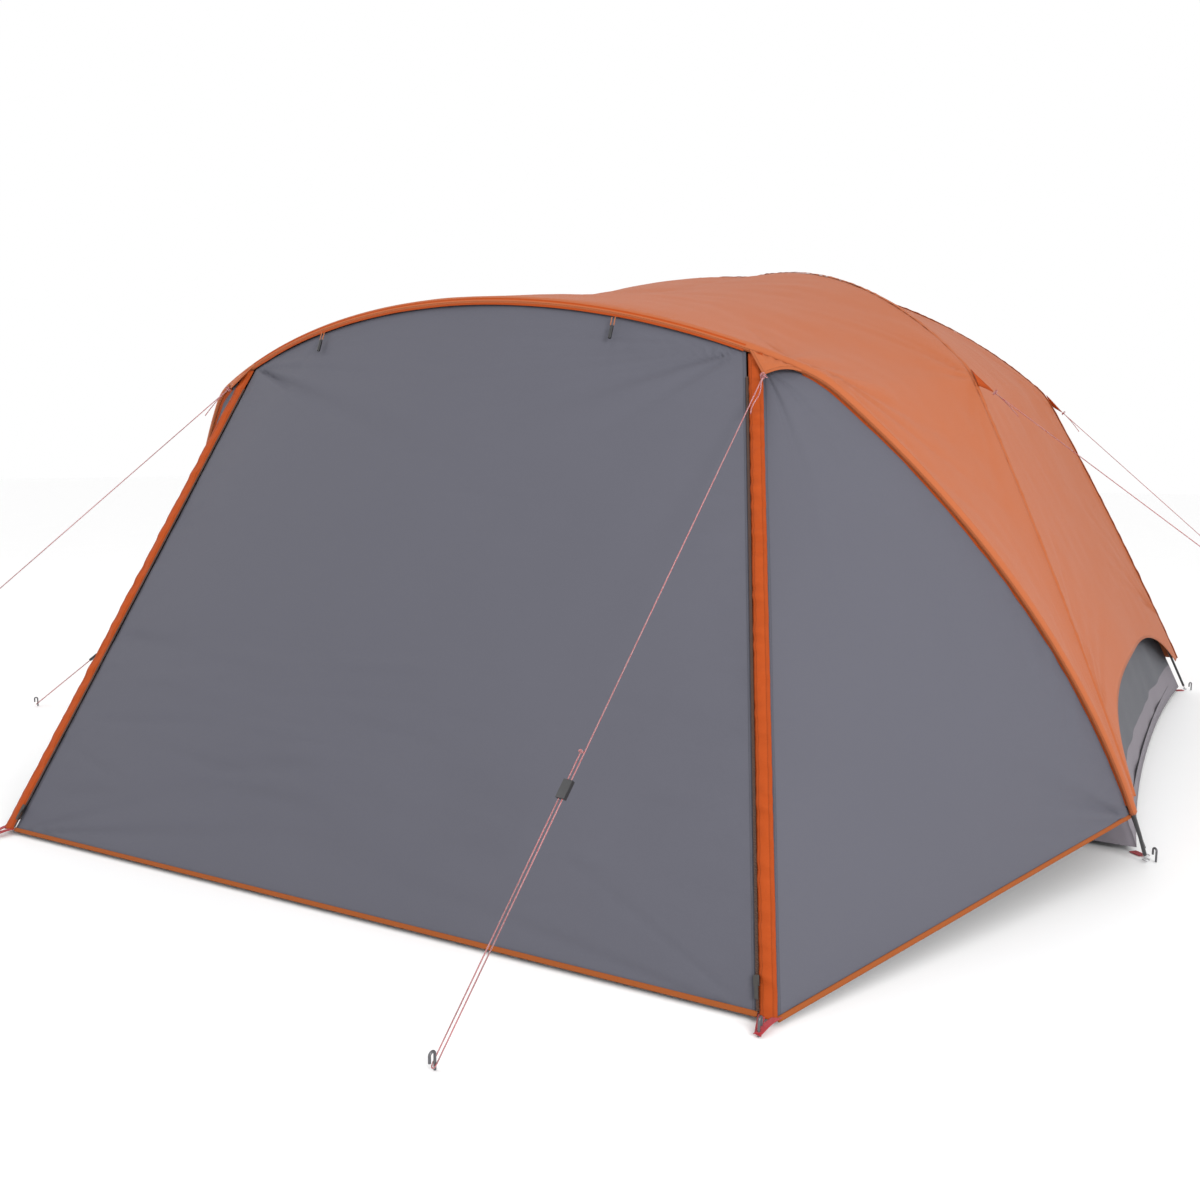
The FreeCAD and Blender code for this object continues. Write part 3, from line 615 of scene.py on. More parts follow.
def tube(name, points, radius, look, cyclic=False):
    """A round tube through points, for zips and knots."""
    curve, spline = round_curve(name, "POLY", points, radius, 2)
    spline.use_cyclic_u = cyclic
    made = placed(name + "_line", curve)
    bpy.context.view_layer.update()
    graph = bpy.context.evaluated_depsgraph_get()
    mesh = bpy.data.meshes.new_from_object(made.evaluated_get(graph))
    bpy.data.objects.remove(made)
    mesh.name = name
    mesh.polygons.foreach_set("use_smooth", [True] * len(mesh.polygons))
    mesh.materials.clear()
    mesh.materials.append(MATERIALS[look])
    return fitted(placed(name, mesh))


# ---- Guy lines: down to the peg, round it, and back up through the slider to a knotted end.

CORD = 0.003
STRAND = 0.005
PEG_LOOP_HEIGHT = 0.014
PAST_PEG = 0.005
NEAR_PEG = 6 * CORD
SLIDER_LENGTH = 0.044
TAIL = 0.070
LOOSE_END = 0.105
TAB_Z = 1.442
TAB_OFF = 0.035
TAB_LENGTH = 0.080
TAB_WIDTH = 0.070
FLAP_TIP = np.array([0.929, -1.524, 1.374])
GUYS = [
    # number, tab's side x and y (0: porch corner), ground point, slider's distance from the peg, length
    (1, 1, 0, (0.736, -2.674, 0), 0.575, 2.50),
    (2, -1, 0, (-1.978, -2.611, 0), 0.575, 2.74),
    (3, -1, -1, (-2.759, -0.983, 0), 0.330, 2.66),
    (4, 1, -1, (3.055, 0.102, 0), 0.500, 2.92),
    (5, 1, 1, (2.764, 1.770, 0), 0.500, 2.68),
]


def tab_tip(side_x, side_y, ground):
    seam = dome_point(TAB_OFF, dome_run(FLY_OFFSET + 0.0015, TAB_Z), side_x, side_y)
    return seam + unit(np.asarray(ground) - seam) * TAB_LENGTH


def knot(name, place, pull, size=0.0065):
    """An overhand knot drawn tight: a trefoil of cord."""
    turns = np.linspace(0, math.tau, 40, endpoint=False)
    across = unit(np.cross(pull, (0, 0, 1)))
    third = np.cross(pull, across)
    trefoil = (
        np.sin(turns) + 2 * np.sin(2 * turns), np.cos(turns) - 2 * np.cos(2 * turns), -np.sin(3 * turns),
    )
    points = place + (np.stack(trefoil, -1) * size / 3) @ np.stack([across, third, pull * 0.9])
    return tube(name, points, CORD / 2, "cord", cyclic=True)


def guy(number, side_x, side_y, ground, slider_at, length):
    """A whole guy line, with its knots and loose end."""
    ground = np.asarray(ground, float)
    if side_y:
        anchor = tab_tip(side_x, side_y, ground)
    else:
        anchor = FLAP_TIP * (side_x, 1, 1) + OFF_SKIN * 0.005
    low = ground + (0, 0, PEG_LOOP_HEIGHT)
    pull = unit(anchor - low)
    low = low - pull * PAST_PEG
    side = unit(np.cross(pull, (0, 0, 1))) * STRAND
    reach = float((anchor - pull * 0.003 - low) @ pull)
    top = low + side + pull * reach
    tail = low - side + pull * (slider_at + SLIDER_LENGTH + TAIL)
    route = [
        top,
        top - pull * NEAR_PEG,
        low + side + pull * NEAR_PEG,
        low + side - pull * STRAND,
        low - side - pull * STRAND,
        low - side + pull * NEAR_PEG,
        tail - pull * NEAR_PEG,
        tail,
    ]
    curve, spline = round_curve(f"guy_line_{number}", "NURBS", route, CORD / 2, 3)
    spline.order_u = 3
    spline.use_endpoint_u = True
    curve.materials.append(MATERIALS["cord"])
    piece = fitted(placed(f"guy_line_{number}", curve))
    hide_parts(f"guy_cord_{number}")
    ends = [
        knot(f"guy_knot_{number}", top - pull * 0.004, pull, 0.0105),
        knot(f"guy_end_knot_{number}", tail, pull),
    ]
    drop = np.linspace(0, 1, 24)[:, None]
    sway = side * (1.2 - 0.8 * np.sin(9 * drop))
    loose = top + sway - pull * (LOOSE_END * drop) - (0, 0, 0.02) * drop**2
    ends.append(tube(f"guy_end_{number}", loose, CORD / 2, "cord"))


for row in GUYS:
    guy(*row)

# ---- Fly: three sides of the dome, each with a low arch cut out, and the roof over the porch.

FLY_BOTTOM = 0.170
ARCH_CUT = 0.410
CUT_SHARE = 0.974
CUT_SQUARE, CUT_ROUND = 4, 2.2
DOME_ROWS = 150
SIDES = {"right": (1, 0), "left": (-1, 0), "back": (0, 1), "front": (0, -1)}


def side_grid(offset, side, shares, bottoms, rows, top_run=0.004):
    """A side of the dome: shares are places across it, -1 to 1, bottoms the height of each."""
    last = dome_run(offset, np.asarray(bottoms))
    steps = np.linspace(0, 1, rows)[:, None]
    run = top_run + (last[None, :] - top_run) * steps
    left, right = (np.array([side[0] or sign, side[1] or sign]) for sign in (-1, 1))
    first = dome_point(offset, run, *left)
    second = dome_point(offset, run, *right)
    return between(first, second, (shares[None, :] + 1) / 2 + 0 * run)


def fly_side(name):
    """A side of the dome's fly, sagging a little between its poles."""
    side = SIDES[name]
    inside = 1 - np.linspace(1, 0, 44) ** 2.2
    half = np.concatenate([inside * CUT_SHARE, np.linspace(CUT_SHARE, 1, 6)[1:]])
    shares = np.concatenate([-half[:0:-1], half])
    squareness = np.where((shares > 0) & (name != "back"), CUT_ROUND, CUT_SQUARE)
    cut = ARCH_CUT * np.maximum(0, 1 - (np.abs(shares) / CUT_SHARE) ** squareness) ** (1 / squareness)
    grid = side_grid(FLY_OFFSET, side, shares, np.maximum(cut, FLY_BOTTOM), DOME_ROWS)
    flat = grid.copy()
    inward = -np.array([*side, 0.35])
    slack = (1 - shares**2)[None, :] * np.sin(np.pi * np.linspace(0, 1, DOME_ROWS) ** 1.3)[:, None]
    grid = grid + inward * (0.020 * slack)[..., None]
    pull = np.zeros(grid.shape[:2])
    for sign in (-1, 1):
        foot = dome_point(FLY_OFFSET, dome_run(FLY_OFFSET, 0.40), side[0] or sign, side[1] or sign)
        tab = dome_point(FLY_OFFSET, dome_run(FLY_OFFSET, TAB_Z), side[0] or sign, side[1] or sign)
        mid = np.array([side[0] * 0.9, CENTRE_Y + side[1] * 0.9, 1.3])
        across = np.cross(unit(mid - foot), (*side, 0.4))
        pull += fan(grid, foot, mid - foot, across, 0.60, 0.010, spread=0.55, count=7, width=0.045)
        pull += fan(grid, tab, mid - tab, across, 0.40, 0.009, spread=0.9, count=8, width=0.06)
    wave = ripple(grid, 0.55, (1, 1, 1)) * 0.0045 + ripple(grid, 0.16, (1, 1, 2.5)) * 0.0012
    grid = pushed(grid, (*side, 0.5), (wave - pull) * pinned(grid))
    piece = cloth(f"fly_cloth_{name}", grid, "roof", outward=(*side, 0.5), hems="B")
    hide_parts(f"fly_{name}")


ROOF_LENGTHWAYS = 421
ROOF_ACROSS = 46
POLE_CLEARANCE = 0.012


def roof(trims):
    """Over the porch, from the porch pole back to the front halves of the dome poles, foot to foot."""
    place = np.linspace(1, -1, ROOF_LENGTHWAYS)
    side = np.where(place < 0, -1.0, 1.0)
    count = ROOF_LENGTHWAYS // 2 + 1
    rear_run, run = matched_runs(dome_run(FLY_OFFSET, FLY_BOTTOM), run_at(FLY_BOTTOM), count)
    rear_run, run = (np.concatenate([half[::-1], half[1:]]) for half in (rear_run, run))
    edge = porch_point(run, POLE_CLEARANCE, 0.0, side)
    turned_over = ((-0.005, 0.0165), (0.004, 0.0165), (0.0105, 0.011))
    lip = np.stack([porch_point(run, out, front, side) for out, front in turned_over], 1)
    rear = dome_point(FLY_OFFSET, rear_run, side, -1.0)
    steps = np.linspace(0, 1, ROOF_ACROSS)
    skin = between(edge[:, None, :], rear[:, None, :], steps[None, :] + 0 * run[:, None])
    width = np.linalg.norm(rear - edge, axis=-1)
    slack = np.sin(np.pi * steps)[None, :] * np.minimum(width, 1.0)[:, None]
    pull = np.zeros(slack.shape)
    for sign in (-1, 1):
        peak = porch_point(ARCH_LENGTH * 0.95, POLE_CLEARANCE, 0.0, sign)
        tab = dome_point(FLY_OFFSET, dome_run(FLY_OFFSET, TAB_Z), sign, -1)
        foot = dome_point(FLY_OFFSET, dome_run(FLY_OFFSET, 0.2), sign, -1)
        pull += fan(skin, peak, tab - peak, (0, 0, 1), 0.50, 0.017, spread=0.7, count=11, width=0.05)
        pull += fan(skin, tab, peak - tab, (0, 0, 1), 0.35, 0.010, spread=0.9, count=8, width=0.06)
        pull += fan(skin, foot, peak - foot, (0, 1, 0), 0.45, 0.004, spread=0.25, count=4, width=0.03)
    wave = ripple(skin, 0.5) * 0.005 + ripple(skin, 0.15, (2, 1, 1)) * 0.0015
    skin = pushed(skin, (0, -0.3, 1), (wave - pull) * pinned(skin) - 0.028 * slack)
    grid = np.concatenate([lip, skin], 1)
    piece = cloth("fly_cloth_porch_roof", grid, "roof", outward=(0, -0.3, 1), hems="L")
    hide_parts("fly_porch_roof")


def seam_cover(name, side_x, side_y):
    """The felled seam over a dome pole, a narrow puckered welt."""
    run = np.linspace(0.006, dome_run(FLY_OFFSET, FLY_BOTTOM), 300)
    line = dome_point(FLY_OFFSET + 0.0022, run, side_x, side_y)
    along = np.gradient(line, axis=0)
    outward = dome_point(FLY_OFFSET + 0.1, run, side_x, side_y) - line
    across = np.cross(along, outward)
    across = across / np.linalg.norm(across, axis=-1, keepdims=True) * 0.013
    return ribbon(name, line, across, "roof", outward=(side_x, side_y, 1), pucker=0.0012)


# ---- Porch front: one sheet from arch to hem.

FRONT_COLUMNS = 241
FRONT_ROWS = 171
HEM_WIDTH = 0.012
HEM_THICK = 0.0034
FOLDS_LOW = ((-1.0, -2.1, 0.1), (1.1, -1.9, 0.65))
FOLDS_HIGH = ((0.2, -1.8, 0.9), (0.9, -1.6, 1.4))


def front_sheet():
    """Header and door as one sheet that stays in place; only its hem rides with the door."""
    share = np.linspace(-1, 1, FRONT_COLUMNS)
    top = arch_edge(share * BROW_HALF)
    bottom = np.stack([share * HEM_HALF, 0 * share + HEM_Y, 0 * share + HEM_Z], -1)
    level = np.linspace(0, 1, FRONT_ROWS)[:, None]
    flat = between(top[None], bottom[None], level + 0 * share[None, :])
    slack = (1 - share**4)[None, :] * np.sin(np.pi * level)
    grid = flat - OFF_SKIN * (0.012 * slack)[..., None]
    pull = np.zeros(grid.shape[:2])
    for sign in (-1, 1):
        peak, foot = arch_edge(sign * BROW_HALF), PORCH_CORNER * (sign, 1, 1)
        inward, down = (-sign, 0, -0.55), (0, -0.3, -1)
        pull += fan(grid, peak, inward, down, 0.50, 0.011, spread=0.6, count=11, width=0.035)
        pull += fan(grid, foot, (-sign, 0.1, 0.35), (0, 0.4, 1), 0.60, 0.009, spread=0.4, count=9, width=0.04)
        tie = arch_edge(sign * 0.51)
        pull += fan(grid, tie, HANG, (1, 0, 0), 0.10, 0.004, spread=0.8, count=5, width=0.12)
    patchy = np.clip(0.5 + ripple(grid, 0.7), 0, 1)
    low = np.exp(-(((level - 0.82) / 0.12) ** 2)) * (1 - share[None, :] ** 6) * patchy
    across_low = (ripple(grid, 0.12, (5, 1, 1)) * 0.0035 + ripple(grid, 0.3, (2, 1, 1)) * 0.004) * low
    across_low += folds(grid, FOLDS_LOW, (1, 0, 0), 34, 0.22, 0.020, 0.0045)
    across_low += folds(grid, FOLDS_HIGH, (1, 0, -0.5), 10, 0.16, 0.018, 0.0030)
    edge_pull = ripple(grid, 0.05, (4, 1, 1)) * 0.0030 * np.exp(-(1 - np.abs(share)) / 0.08)[None, :]
    wave = ripple(grid, 0.6) * 0.003 + ripple(grid, 0.2, (1, 1, 2)) * 0.0012
    grid = grid + OFF_SKIN * ((wave + across_low + edge_pull - pull) * pinned(grid, 0.03))[..., None]
    piece = cloth("porch_front_cloth", grid, "gray", body=None, hems="LR")
    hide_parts("porch_header", "porch_door")
    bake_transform(piece)
    line = grid[-1] - HANG * 0.004 + OFF_SKIN * 0.0012
    hem = ribbon("front_hem", line, 0 * line + HANG * HEM_WIDTH, "binding", "porch_door", HEM_THICK)


front_sheet()

STRIP_INNER = 0.006
STRIP_WIDTH = 0.040
STRIP_UNDER_BROW = 0.993
ZIP_TOP = 0.955
SIDE_START = 0.045
SIDE_INSIDE = -0.008
SIDE_TOP_X = 0.905
SIDE_HEM_END = 0.160


def corner_strip(name, sign):
    """The puckered tape down a porch corner, bowed out across its width."""
    level = np.linspace(0, STRIP_UNDER_BROW, 300)
    middle = np.array([STRIP_INNER + STRIP_WIDTH / 2, 0, 0]) + OFF_SKIN * 0.002
    line = between(PORCH_CORNER, arch_edge(BROW_HALF), level) + middle
    widths = np.linspace(-0.5, 0.5, 9)
    grid = line[:, None, :] + np.array([STRIP_WIDTH, 0, 0]) * widths[None, :, None]
    bow = (1 - (2 * widths) ** 2)[None, :]
    pucker = ripple(grid, 0.030, (2.5, 1, 1), waves=14) * 0.0030 + ripple(grid, 0.09, (2, 1, 1)) * 0.002
    grid = grid + OFF_SKIN * (bow * 0.0035 + pucker * (0.35 + 0.65 * bow))[..., None]
    grid = grid * (sign, 1, 1)
    piece = cloth(f"corner_tape_{name}", grid, "strip", hems="LR", thickness=0.0016)
    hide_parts(f"corner_strip_{name}")
    return piece


def side_sheet(name, sign):
    """A porch side, from the corner tape back to the porch pole, creased where it is pulled tight."""
    rows, columns = 150, 110
    level = np.linspace(0, 0.985, rows)
    low = run_at(SIDE_HEM_END)
    high = arch_run(SIDE_TOP_X)
    near = between(PORCH_CORNER + (SIDE_START, 0, 0), arch_edge(SIDE_TOP_X, out=SIDE_INSIDE), level)
    far = porch_point(low + (high - low) * level, SIDE_INSIDE, SKIN_FRONT)
    steps = np.linspace(0, 1, columns)
    flat = between(near[:, None], far[:, None], steps[None, :] + 0 * level[:, None])
    outward = np.array([0.5, -1, 0.2])
    normal, _ = normals(flat, outward)
    slack = np.sin(np.pi * steps)[None, :] * np.sin(np.pi * level)[:, None]
    foot, peak, hem_end = flat[0, 0], flat[-1, 0], flat[0, -1]
    up = np.array([0, 0, 1.0])
    inward = unit(foot - hem_end) + up * 0.6
    pull = fan(flat, hem_end, inward, up, 0.40, 0.016, spread=0.65, count=9, width=0.05)
    down = flat[0, columns // 2] - peak
    pull += fan(flat, peak, down, (0.6, 0.8, 0), 0.50, 0.010, spread=0.5, count=8, width=0.05)
    pull += fan(flat, foot, flat[rows // 2, -1] - foot, up, 0.40, 0.004, spread=0.5, count=6, width=0.06)
    rim = np.exp(-(1 - steps) / 0.06)[None, :]
    gather = ripple(flat, 0.06, (1, 1, 1)) * 0.0045 * rim
    wave = ripple(flat, 0.5) * 0.0035 + ripple(flat, 0.17, (1, 1, 2)) * 0.0013
    grid = flat + normal * ((wave + gather - pull) * pinned(flat, 0.03) - 0.020 * slack)[..., None]
    hem_line = grid[0] + normal[0] * 0.0014 + (grid[1] - grid[0]) * 0.3
    grid, hem_line = grid * (sign, 1, 1), hem_line * (sign, 1, 1)
    piece = cloth(f"porch_side_cloth_{name}", grid, "gray", outward=outward * (sign, 1, 1), hems="LR")
    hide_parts(f"porch_side_{name}")
    up_skin = unit(grid[4, columns // 2] - grid[0, columns // 2]) * HEM_WIDTH
    hem = ribbon(f"side_hem_{name}", hem_line, 0 * hem_line + up_skin, "binding", "tent", HEM_THICK,
                 outward * (sign, 1, 1))


BROW_DEPTH = 0.008


def brow():
    """The orange fold along the arch, and the narrower one that follows the pole down each side."""
    x = np.linspace(-BROW_HALF + 0.003, BROW_HALF - 0.003, 200)
    fold = arch_edge(x) + OFF_SKIN * 0.007
    roll = porch_point(arch_run(x), POLE_CLEARANCE, 0.012, np.where(x < 0, -1.0, 1.0))
    steps = np.linspace(0, 1, 7)
    front = fold[:, None, :] + HANG * (BROW_DEPTH * steps)[None, :, None]
    wobble = ripple(front, 0.12, (1, 1, 1)) * 0.0012 * steps[None, :]
    front = front + OFF_SKIN * (0.002 + wobble)[..., None]
    halfway = (roll + front[:, 0]) / 2
    grid = np.concatenate([roll[:, None, :], halfway[:, None, :], front], 1)
    piece = cloth("brow_fold", grid, "strip", hems="R", thickness=0.0018)
    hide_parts("brow_trim")
    pieces = [piece]
    for name, sign in BOTH:
        share = np.linspace(0, 1, 150)
        run = ARCH_LENGTH + (run_at(0.2) - ARCH_LENGTH) * share
        swell = 0.016 * np.sin(np.pi * np.minimum(1, share * 1.6 + 0.12)) * (share < 0.55)
        width = 0.006 + swell + 0.002 * (1 - share)
        width = np.convolve(np.pad(width, 8, mode="edge"), np.ones(17) / 17, "valid")
        outer = porch_point(run, -0.004, 0.0150, sign)
        inner = porch_point(run, -0.004 - width, 0.0146, sign)
        middle = (outer + inner) / 2
        pieces.append(ribbon(f"hoop_fold_{name}", middle, outer - inner, "strip", outward=(sign, -1, 0)))
    return pieces


FLAP_START, FLAP_END = 0.872, 1.005


def flap(name, sign):
    """The gathered corner of the roof that the front guy line pulls out."""
    columns, rows = 61, 31
    across = np.linspace(0, 1, columns)
    top = arch_edge(FLAP_START + (FLAP_END - FLAP_START) * across, 0.004, 0.0175)
    tip_share = 0.40
    left, right = top[0], top[-1] - np.array([0, 0, 0.004])
    first = between(left, FLAP_TIP, np.clip(across / tip_share, 0, 1))
    bend = np.clip((across - tip_share) / (1 - tip_share), 0, 1)
    second = between(FLAP_TIP, right, bend)
    second[:, 2] += np.sin(np.pi * bend) * 0.010
    bottom = np.where((across < tip_share)[:, None], first, second)
    down = np.linspace(0, 1, rows)[:, None]
    grid = between(top[None], bottom[None], down + 0 * across[None, :])
    belly = np.sin(np.pi * down) * np.sin(np.pi * across)[None, :] * 0.006
    gathers = np.sin(across * 34)[None, :] * np.exp(-down / 0.35) * 0.0016 * np.sin(np.pi * across)[None, :]
    grid = pushed(grid, (0, -1, 0.5), belly + gathers) * (sign, 1, 1)
    piece = cloth(f"corner_flap_{name}", grid, "roof", hems="B", thickness=0.0018)
    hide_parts(f"peak_flap_{name}")
    return piece


# ---- Zips beside the corner tapes, and the guy tabs on the seams.


def zip_teeth(name, sign):
    """A woven tape with two rows of interlocking coils."""
    foot = PORCH_CORNER + (0.003, 0, 0)
    line = unit(arch_edge(BROW_HALF) - PORCH_CORNER)
    normal = unit(np.cross((1, 0, 0), line))
    normal = normal if normal[1] < 0 else -normal
    start = foot + line * 0.010 + normal * 0.0052
    length = np.linalg.norm(arch_edge(BROW_HALF) - foot) * ZIP_TOP - 0.020
    axes = np.stack([line, unit(np.cross(line, normal)), normal])
    pitch = 0.0036
    tape_half, tooth_half = (length / 2, 0.0032, 0.0003), (0.0012, 0.0026, 0.00055)
    blocks = [((length / 2, 0, -0.0006), tape_half)]
    for i in range(int(length / pitch)):
        blocks.append(((pitch * (i + 0.5), 0.0008 * (1 if i % 2 else -1), 0.0001), tooth_half))
    around = ((-1, -1), (1, -1), (1, 1), (-1, 1))
    corners = np.array([(*place, level) for level in (-1, 1) for place in around])
    sides = np.array([(0, 3, 2, 1), (4, 5, 6, 7), (0, 1, 5, 4), (1, 2, 6, 5), (2, 3, 7, 6), (3, 0, 4, 7)])
    vertices = np.concatenate([start + (corners * half + centre) @ axes for centre, half in blocks])
    faces = np.concatenate([sides + len(corners) * number for number in range(len(blocks))])
    piece = build_mesh(f"zip_{name}", vertices * (sign, 1, 1), faces, MATERIALS["zip"], smooth=False)
    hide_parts(f"door_zip_{name}")
    return fitted(piece)


def corner_webbing(name, sign):
    """Red webbing from under the corner tape down to the peg, folded back on itself in a V."""
    middle = HEM_HALF + STRIP_INNER + STRIP_WIDTH / 2
    bend = np.array([middle, HEM_Y - 0.064, 0.006])
    steps = np.linspace(0, 1, 30)
    straps = []
    for layer, lean in enumerate((-0.017, 0.017)):
        line = between(bend, np.array([middle + lean, HEM_Y + 0.004, 0.016]), steps)
        line[:, 2] += 0.0035 * np.sin(np.pi * steps) + 0.0026 * layer
        width = np.array([0.017, math.copysign(0.006, lean), 0])
        grid = line[:, None, :] + width * np.linspace(-0.5, 0.5, 6)[None, :, None]
        straps.append(cloth(f"corner_webbing_{name}_{layer + 1}", grid * (sign, 1, 1), "webbing",
                            outward=(0, -0.3, 1), thickness=0.0018))
    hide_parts(f"corner_loop_{name}")
    return straps


def guy_tab(number, side_x, side_y, ground):
    """A folded triangle of cloth sewn into the seam, with its point pulled toward the peg."""
    run = dome_run(FLY_OFFSET + 0.0015, TAB_Z)
    seam = dome_point(TAB_OFF, run, side_x, side_y)
    along = unit(dome_point(TAB_OFF, run + 0.02, side_x, side_y) - seam)
    tip = tab_tip(side_x, side_y, ground)
    width = np.linspace(-0.5, 0.5, 25)
    out = np.linspace(0, 1, 21)
    grid = seam + (tip - seam) * (out[:, None, None] * 0.985)
    grid = grid + along * (width[None, :] * TAB_WIDTH * (1 - out[:, None] * 0.93))[..., None]
    side = np.cross(along, unit(tip - seam))
    crease = np.sin(width * 16)[None, :] * 0.004 * np.sin(np.pi * out * 0.9)[:, None]
    crease = crease + (0.25 - width**2)[None, :] * 0.02
    grid = grid + side * (crease * (1 - out[:, None]))[..., None]
    return cloth(f"guy_tab_{number}", grid, "strip", outward=side, hems="LR", thickness=0.0022)


corners = {"fr": (1, -1), "fl": (-1, -1), "br": (1, 1), "bl": (-1, 1)}
covers = {tag: seam_cover(f"seam_{tag}", *sides) for tag, sides in corners.items()}
SPARE_TAB = (6, -1, 1, (-2.764, 1.770, 0))
tabs = {row[0]: guy_tab(*row[:4]) for row in (*GUYS, SPARE_TAB) if row[2]}
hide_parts("guy_tabs")
fly_side("right")
fly_side("left")
fly_side("back")
roof([*brow(), flap("right", 1), flap("left", -1)])
for name, sign in BOTH:
    trims = [corner_strip(name, sign), zip_teeth(name, sign), *corner_webbing(name, sign)]
    side_sheet(name, sign)

# ---- Inner tent

FLOOR_HALF_WIDTH = 1.795
FLOOR_HALF_LENGTH = 1.392
FLOOR_INSIDE = 0.006
WALL_FOOT = 0.020
HULL = 0.035
DOOR_HALF = 0.430
DOOR_SILL = 0.150
DOOR_HEIGHT = 1.180


def hull(share, z):
    """How far the inner wall hangs inside the line between its poles."""
    low = np.exp(-np.asarray(z) / 0.30)
    return (1 - np.abs(share) ** 2.2) * (0.020 + HULL * low)


def inner_wall(name):
    """A side or the back of the inner tent."""
    side = SIDES[name]
    shares = np.linspace(-1, 1, 101)
    grid = side_grid(INNER_OFFSET, side, shares, 0 * shares + WALL_FOOT, 111, top_run=0.05)
    flat = grid.copy()
    inward = -np.array([*side, 0.0])
    grid = grid + inward * hull(shares[None, :], grid[..., 2])[..., None]
    pull = np.zeros(grid.shape[:2])
    for sign in (-1, 1):
        foot = dome_point(INNER_OFFSET, dome_run(INNER_OFFSET, 0.05), side[0] or sign, side[1] or sign)
        aim = np.array([side[0] * 1.2, CENTRE_Y + side[1] * 1.2, 0.8]) - foot
        across = np.cross(aim, (*side, 0.2))
        pull += fan(grid, foot, aim, across, 0.35, 0.010, spread=0.7, count=7, width=0.05)
    wave = ripple(grid, 0.35, (1, 1, 1.5)) * 0.005
    grid = pushed(grid, (*side, 0.5), (wave - pull) * pinned(grid))
    piece = cloth(f"inner_cloth_{name}", grid, "inner", outward=(*side, 0.5), hems="B")
    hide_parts(f"inner_wall_{name}")


def front_y(x, z):
    """The front inner wall's surface over a place seen from the front."""
    spread = on_pole(DOME_ARCS, dome_run(INNER_OFFSET, z), INNER_OFFSET)[0] / REACH
    share = np.clip(x / (HALF_WIDTH * spread), -1, 1)
    return CENTRE_Y - HALF_LENGTH * spread + hull(share, z) * 0.6


def door_edge(half, sill, top, count):
    """Round the door: along the sill, up one side, over the round top and down the other, anticlockwise."""
    spring = top - half
    sill_x = np.linspace(-half, half, count)
    rise = np.linspace(sill, spring, count)
    turn = np.linspace(0, math.pi, 2 * count)
    x = np.concatenate([sill_x, 0 * rise[1:] + half, half * np.cos(turn[1:]), 0 * rise[1:-1] - half])
    z = np.concatenate([0 * sill_x + sill, rise[1:], spring + half * np.sin(turn[1:]), rise[::-1][1:-1]])
    return x, z


def inner_front():
    """The inner tent's front wall, as rings that spread from the round-topped doorway to the wall's edge."""
    count = 40
    hole_x, hole_z = door_edge(DOOR_HALF, DOOR_SILL, DOOR_SILL + DOOR_HEIGHT, count)
    total = len(hole_x)
    corners = [0, count - 1, count - 1 + (total - count) // 2]
    place = np.arange(total)
    run_low, run_high = float(dome_run(INNER_OFFSET, WALL_FOOT)), 0.05
    half_low = float(dome_point(INNER_OFFSET, run_low, 1, -1)[0])
    bottom = np.interp(place, [corners[0], corners[1]], [-half_low, half_low])
    climb = np.interp(place, [corners[1], corners[2], total], [run_low, run_high, run_low])
    on_side = place > corners[1]
    sign = np.where(place <= corners[2], 1.0, -1.0)
    edge = dome_point(INNER_OFFSET, climb, sign, -1.0)
    wall_x = np.where(on_side, edge[:, 0], bottom)
    wall_z = np.where(on_side, edge[:, 2], WALL_FOOT)
    share = np.linspace(0, 1, 50)[:, None]
    x = hole_x[None, :] * (1 - share) + wall_x[None, :] * share
    z = hole_z[None, :] * (1 - share) + wall_z[None, :] * share
    x, z = np.concatenate([x, x[:, :1]], 1), np.concatenate([z, z[:, :1]], 1)
    grid = np.stack([x, front_y(x, z), z], -1)
    flat = grid.copy()
    wave = ripple(grid, 0.35, (1, 1, 1.5)) * 0.004
    wave[:, -1] = wave[:, 0]
    fade = np.minimum(1, np.linspace(0, 5, 50))[:, None] * np.minimum(1, np.linspace(5, 0, 50))[:, None]
    grid = pushed(grid, (0, -1, 0.5), wave * fade)
    piece = cloth("inner_cloth_front", grid, "inner", outward=(0, -1, 0.5), hems="TB")
    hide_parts("inner_wall_front")
    sill_points = 24
    zip_x, zip_z = door_edge(DOOR_HALF - 0.001, DOOR_SILL, DOOR_SILL + DOOR_HEIGHT, sill_points)
    line = np.stack([zip_x, front_y(zip_x, zip_z) - 0.004, zip_z], -1)
    coil = tube("inner_door_zip", line[sill_points - 1:], 0.003, "zip")


def inner_leaf():
    """The inner door's own cloth, a gap inside the opening."""
    gap = 0.003
    top = DOOR_SILL + DOOR_HEIGHT - gap
    heights = DOOR_SILL + gap + (top - 0.004 - DOOR_SILL - gap) * np.sin(np.linspace(0, math.pi / 2, 60))
    widest = DOOR_HALF - gap
    above = np.maximum(0, heights - (top - widest))
    half = np.sqrt(np.maximum(0, widest**2 - above**2))
    x = half[::-1, None] * np.linspace(-1, 1, 61)[None, :]
    z = heights[::-1, None] + 0 * x
    leaf = np.stack([x, front_y(x, z), z], -1)
    moved = pushed(leaf, (0, -1, 0.5), ripple(leaf, 0.25, (1, 1, 2)) * 0.004 * pinned(leaf))
    door = cloth("inner_door_cloth", moved, "inner", "inner_door", (0, -1, 0.5), hems="TBLR")
    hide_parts("inner_door")


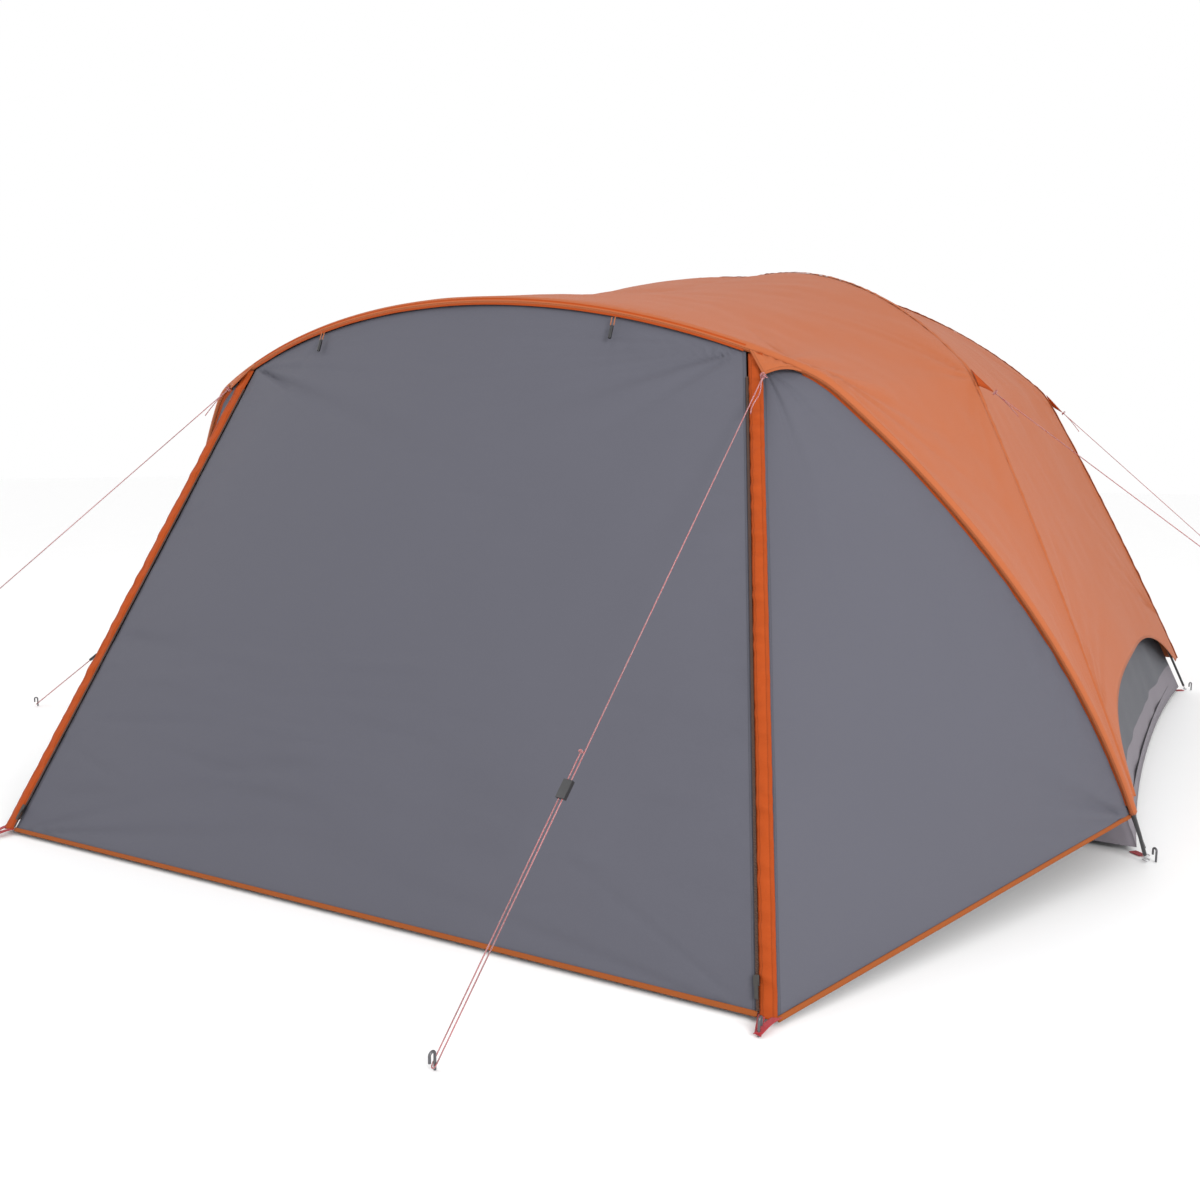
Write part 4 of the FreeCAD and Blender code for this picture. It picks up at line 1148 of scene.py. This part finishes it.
def floor_tray():
    """The groundsheet, turned up at its edges, drawn inward a little between its corners."""
    x = np.linspace(-1, 1, 121)
    y = np.linspace(-1, 1, 101)
    grid_x, grid_y = np.meshgrid(x, y)
    pinch_x = 1 - 0.018 * (1 - grid_y**2) * np.abs(grid_x) ** 6
    pinch_y = 1 - 0.022 * (1 - grid_x**2) * np.abs(grid_y) ** 6
    flat_x = grid_x * (FLOOR_HALF_WIDTH - FLOOR_INSIDE) * pinch_x
    flat_y = grid_y * (FLOOR_HALF_LENGTH - FLOOR_INSIDE) * pinch_y
    edge = np.minimum((1 - np.abs(grid_x)) * FLOOR_HALF_WIDTH, (1 - np.abs(grid_y)) * FLOOR_HALF_LENGTH)
    turned = 0.062 * np.exp(-((edge / 0.020) ** 2))
    points = np.stack([flat_x, CENTRE_Y + flat_y, 0.004 + turned], -1)
    bumps = (ripple(points, 0.30) + 1.1) * 0.0022 + (ripple(points, 0.08, (3, 1, 1)) + 1) * 0.0006
    points[..., 2] += bumps * (turned < 0.02)
    piece = cloth("groundsheet", points[::-1], "floor", outward=(0, 0, 1), hems="TBLR")
    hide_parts("inner_floor")


for name in ("right", "left", "back"):
    inner_wall(name)
inner_front()
inner_leaf()
floor_tray()

# ---- CAD pieces whose shape is right get their real finish.

FINISHES = {
    "pole": ("dome_pole_a", "dome_pole_b", "porch_pole"),
    "steel": ("pole_ferrules", "pole_foot_pins", "pin_rings"),
    "peg": ("corner_pegs", *(f"guy_peg_{row[0]}" for row in GUYS)),
    "plastic": (
        "inner_tent_clips", "door_toggle_left", "door_toggle_right",
        *(f"guy_slider_{row[0]}" for row in GUYS),
    ),
    "webbing": ("foot_webbing",),
    "slider": ("door_zip_slider_left", "door_zip_slider_right"),
    "loop_cloth": ("toggle_loop_left", "toggle_loop_right"),
}
for finish, names in FINISHES.items():
    for name in names:
        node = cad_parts[name]
        if not node.material_slots:
            node.data.materials.append(None)
        for place in node.material_slots:
            place.material = MATERIALS[finish]

# ---- Floor and studio light

FLOOR_SPAN = 40.0
floor_corners = [(x * FLOOR_SPAN, y * FLOOR_SPAN, -0.001) for x, y in ((-1, -1), (1, -1), (1, 1), (-1, 1))]
build_mesh("studio_floor", floor_corners, [(0, 1, 2, 3)], MATERIALS["studio"], smooth=False)

world = bpy.data.worlds.new("studio")
world.use_nodes = True
world.node_tree.nodes["Background"].inputs["Color"].default_value = (1.0, 1.0, 1.0, 1.0)
world.node_tree.nodes["Background"].inputs["Strength"].default_value = 1.0
SCENE.world = world
SCENE.view_settings.view_transform = "Standard"


def softbox(name, place, aim, span, power):
    light = bpy.data.lights.new(name, "AREA")
    light.shape = "DISK"
    light.size = span
    light.energy = power
    lamp = placed(name, light)
    lamp.location = place
    lamp.rotation_euler = (Vector(aim) - Vector(place)).to_track_quat("-Z", "Y").to_euler()


softbox("key", (6.0, -5.5, 3.4), (0.3, 0, 0.6), 2.6, 260)
softbox("fill", (-5.0, -4.0, 5.0), (0, -0.5, 0.6), 3.0, 60)
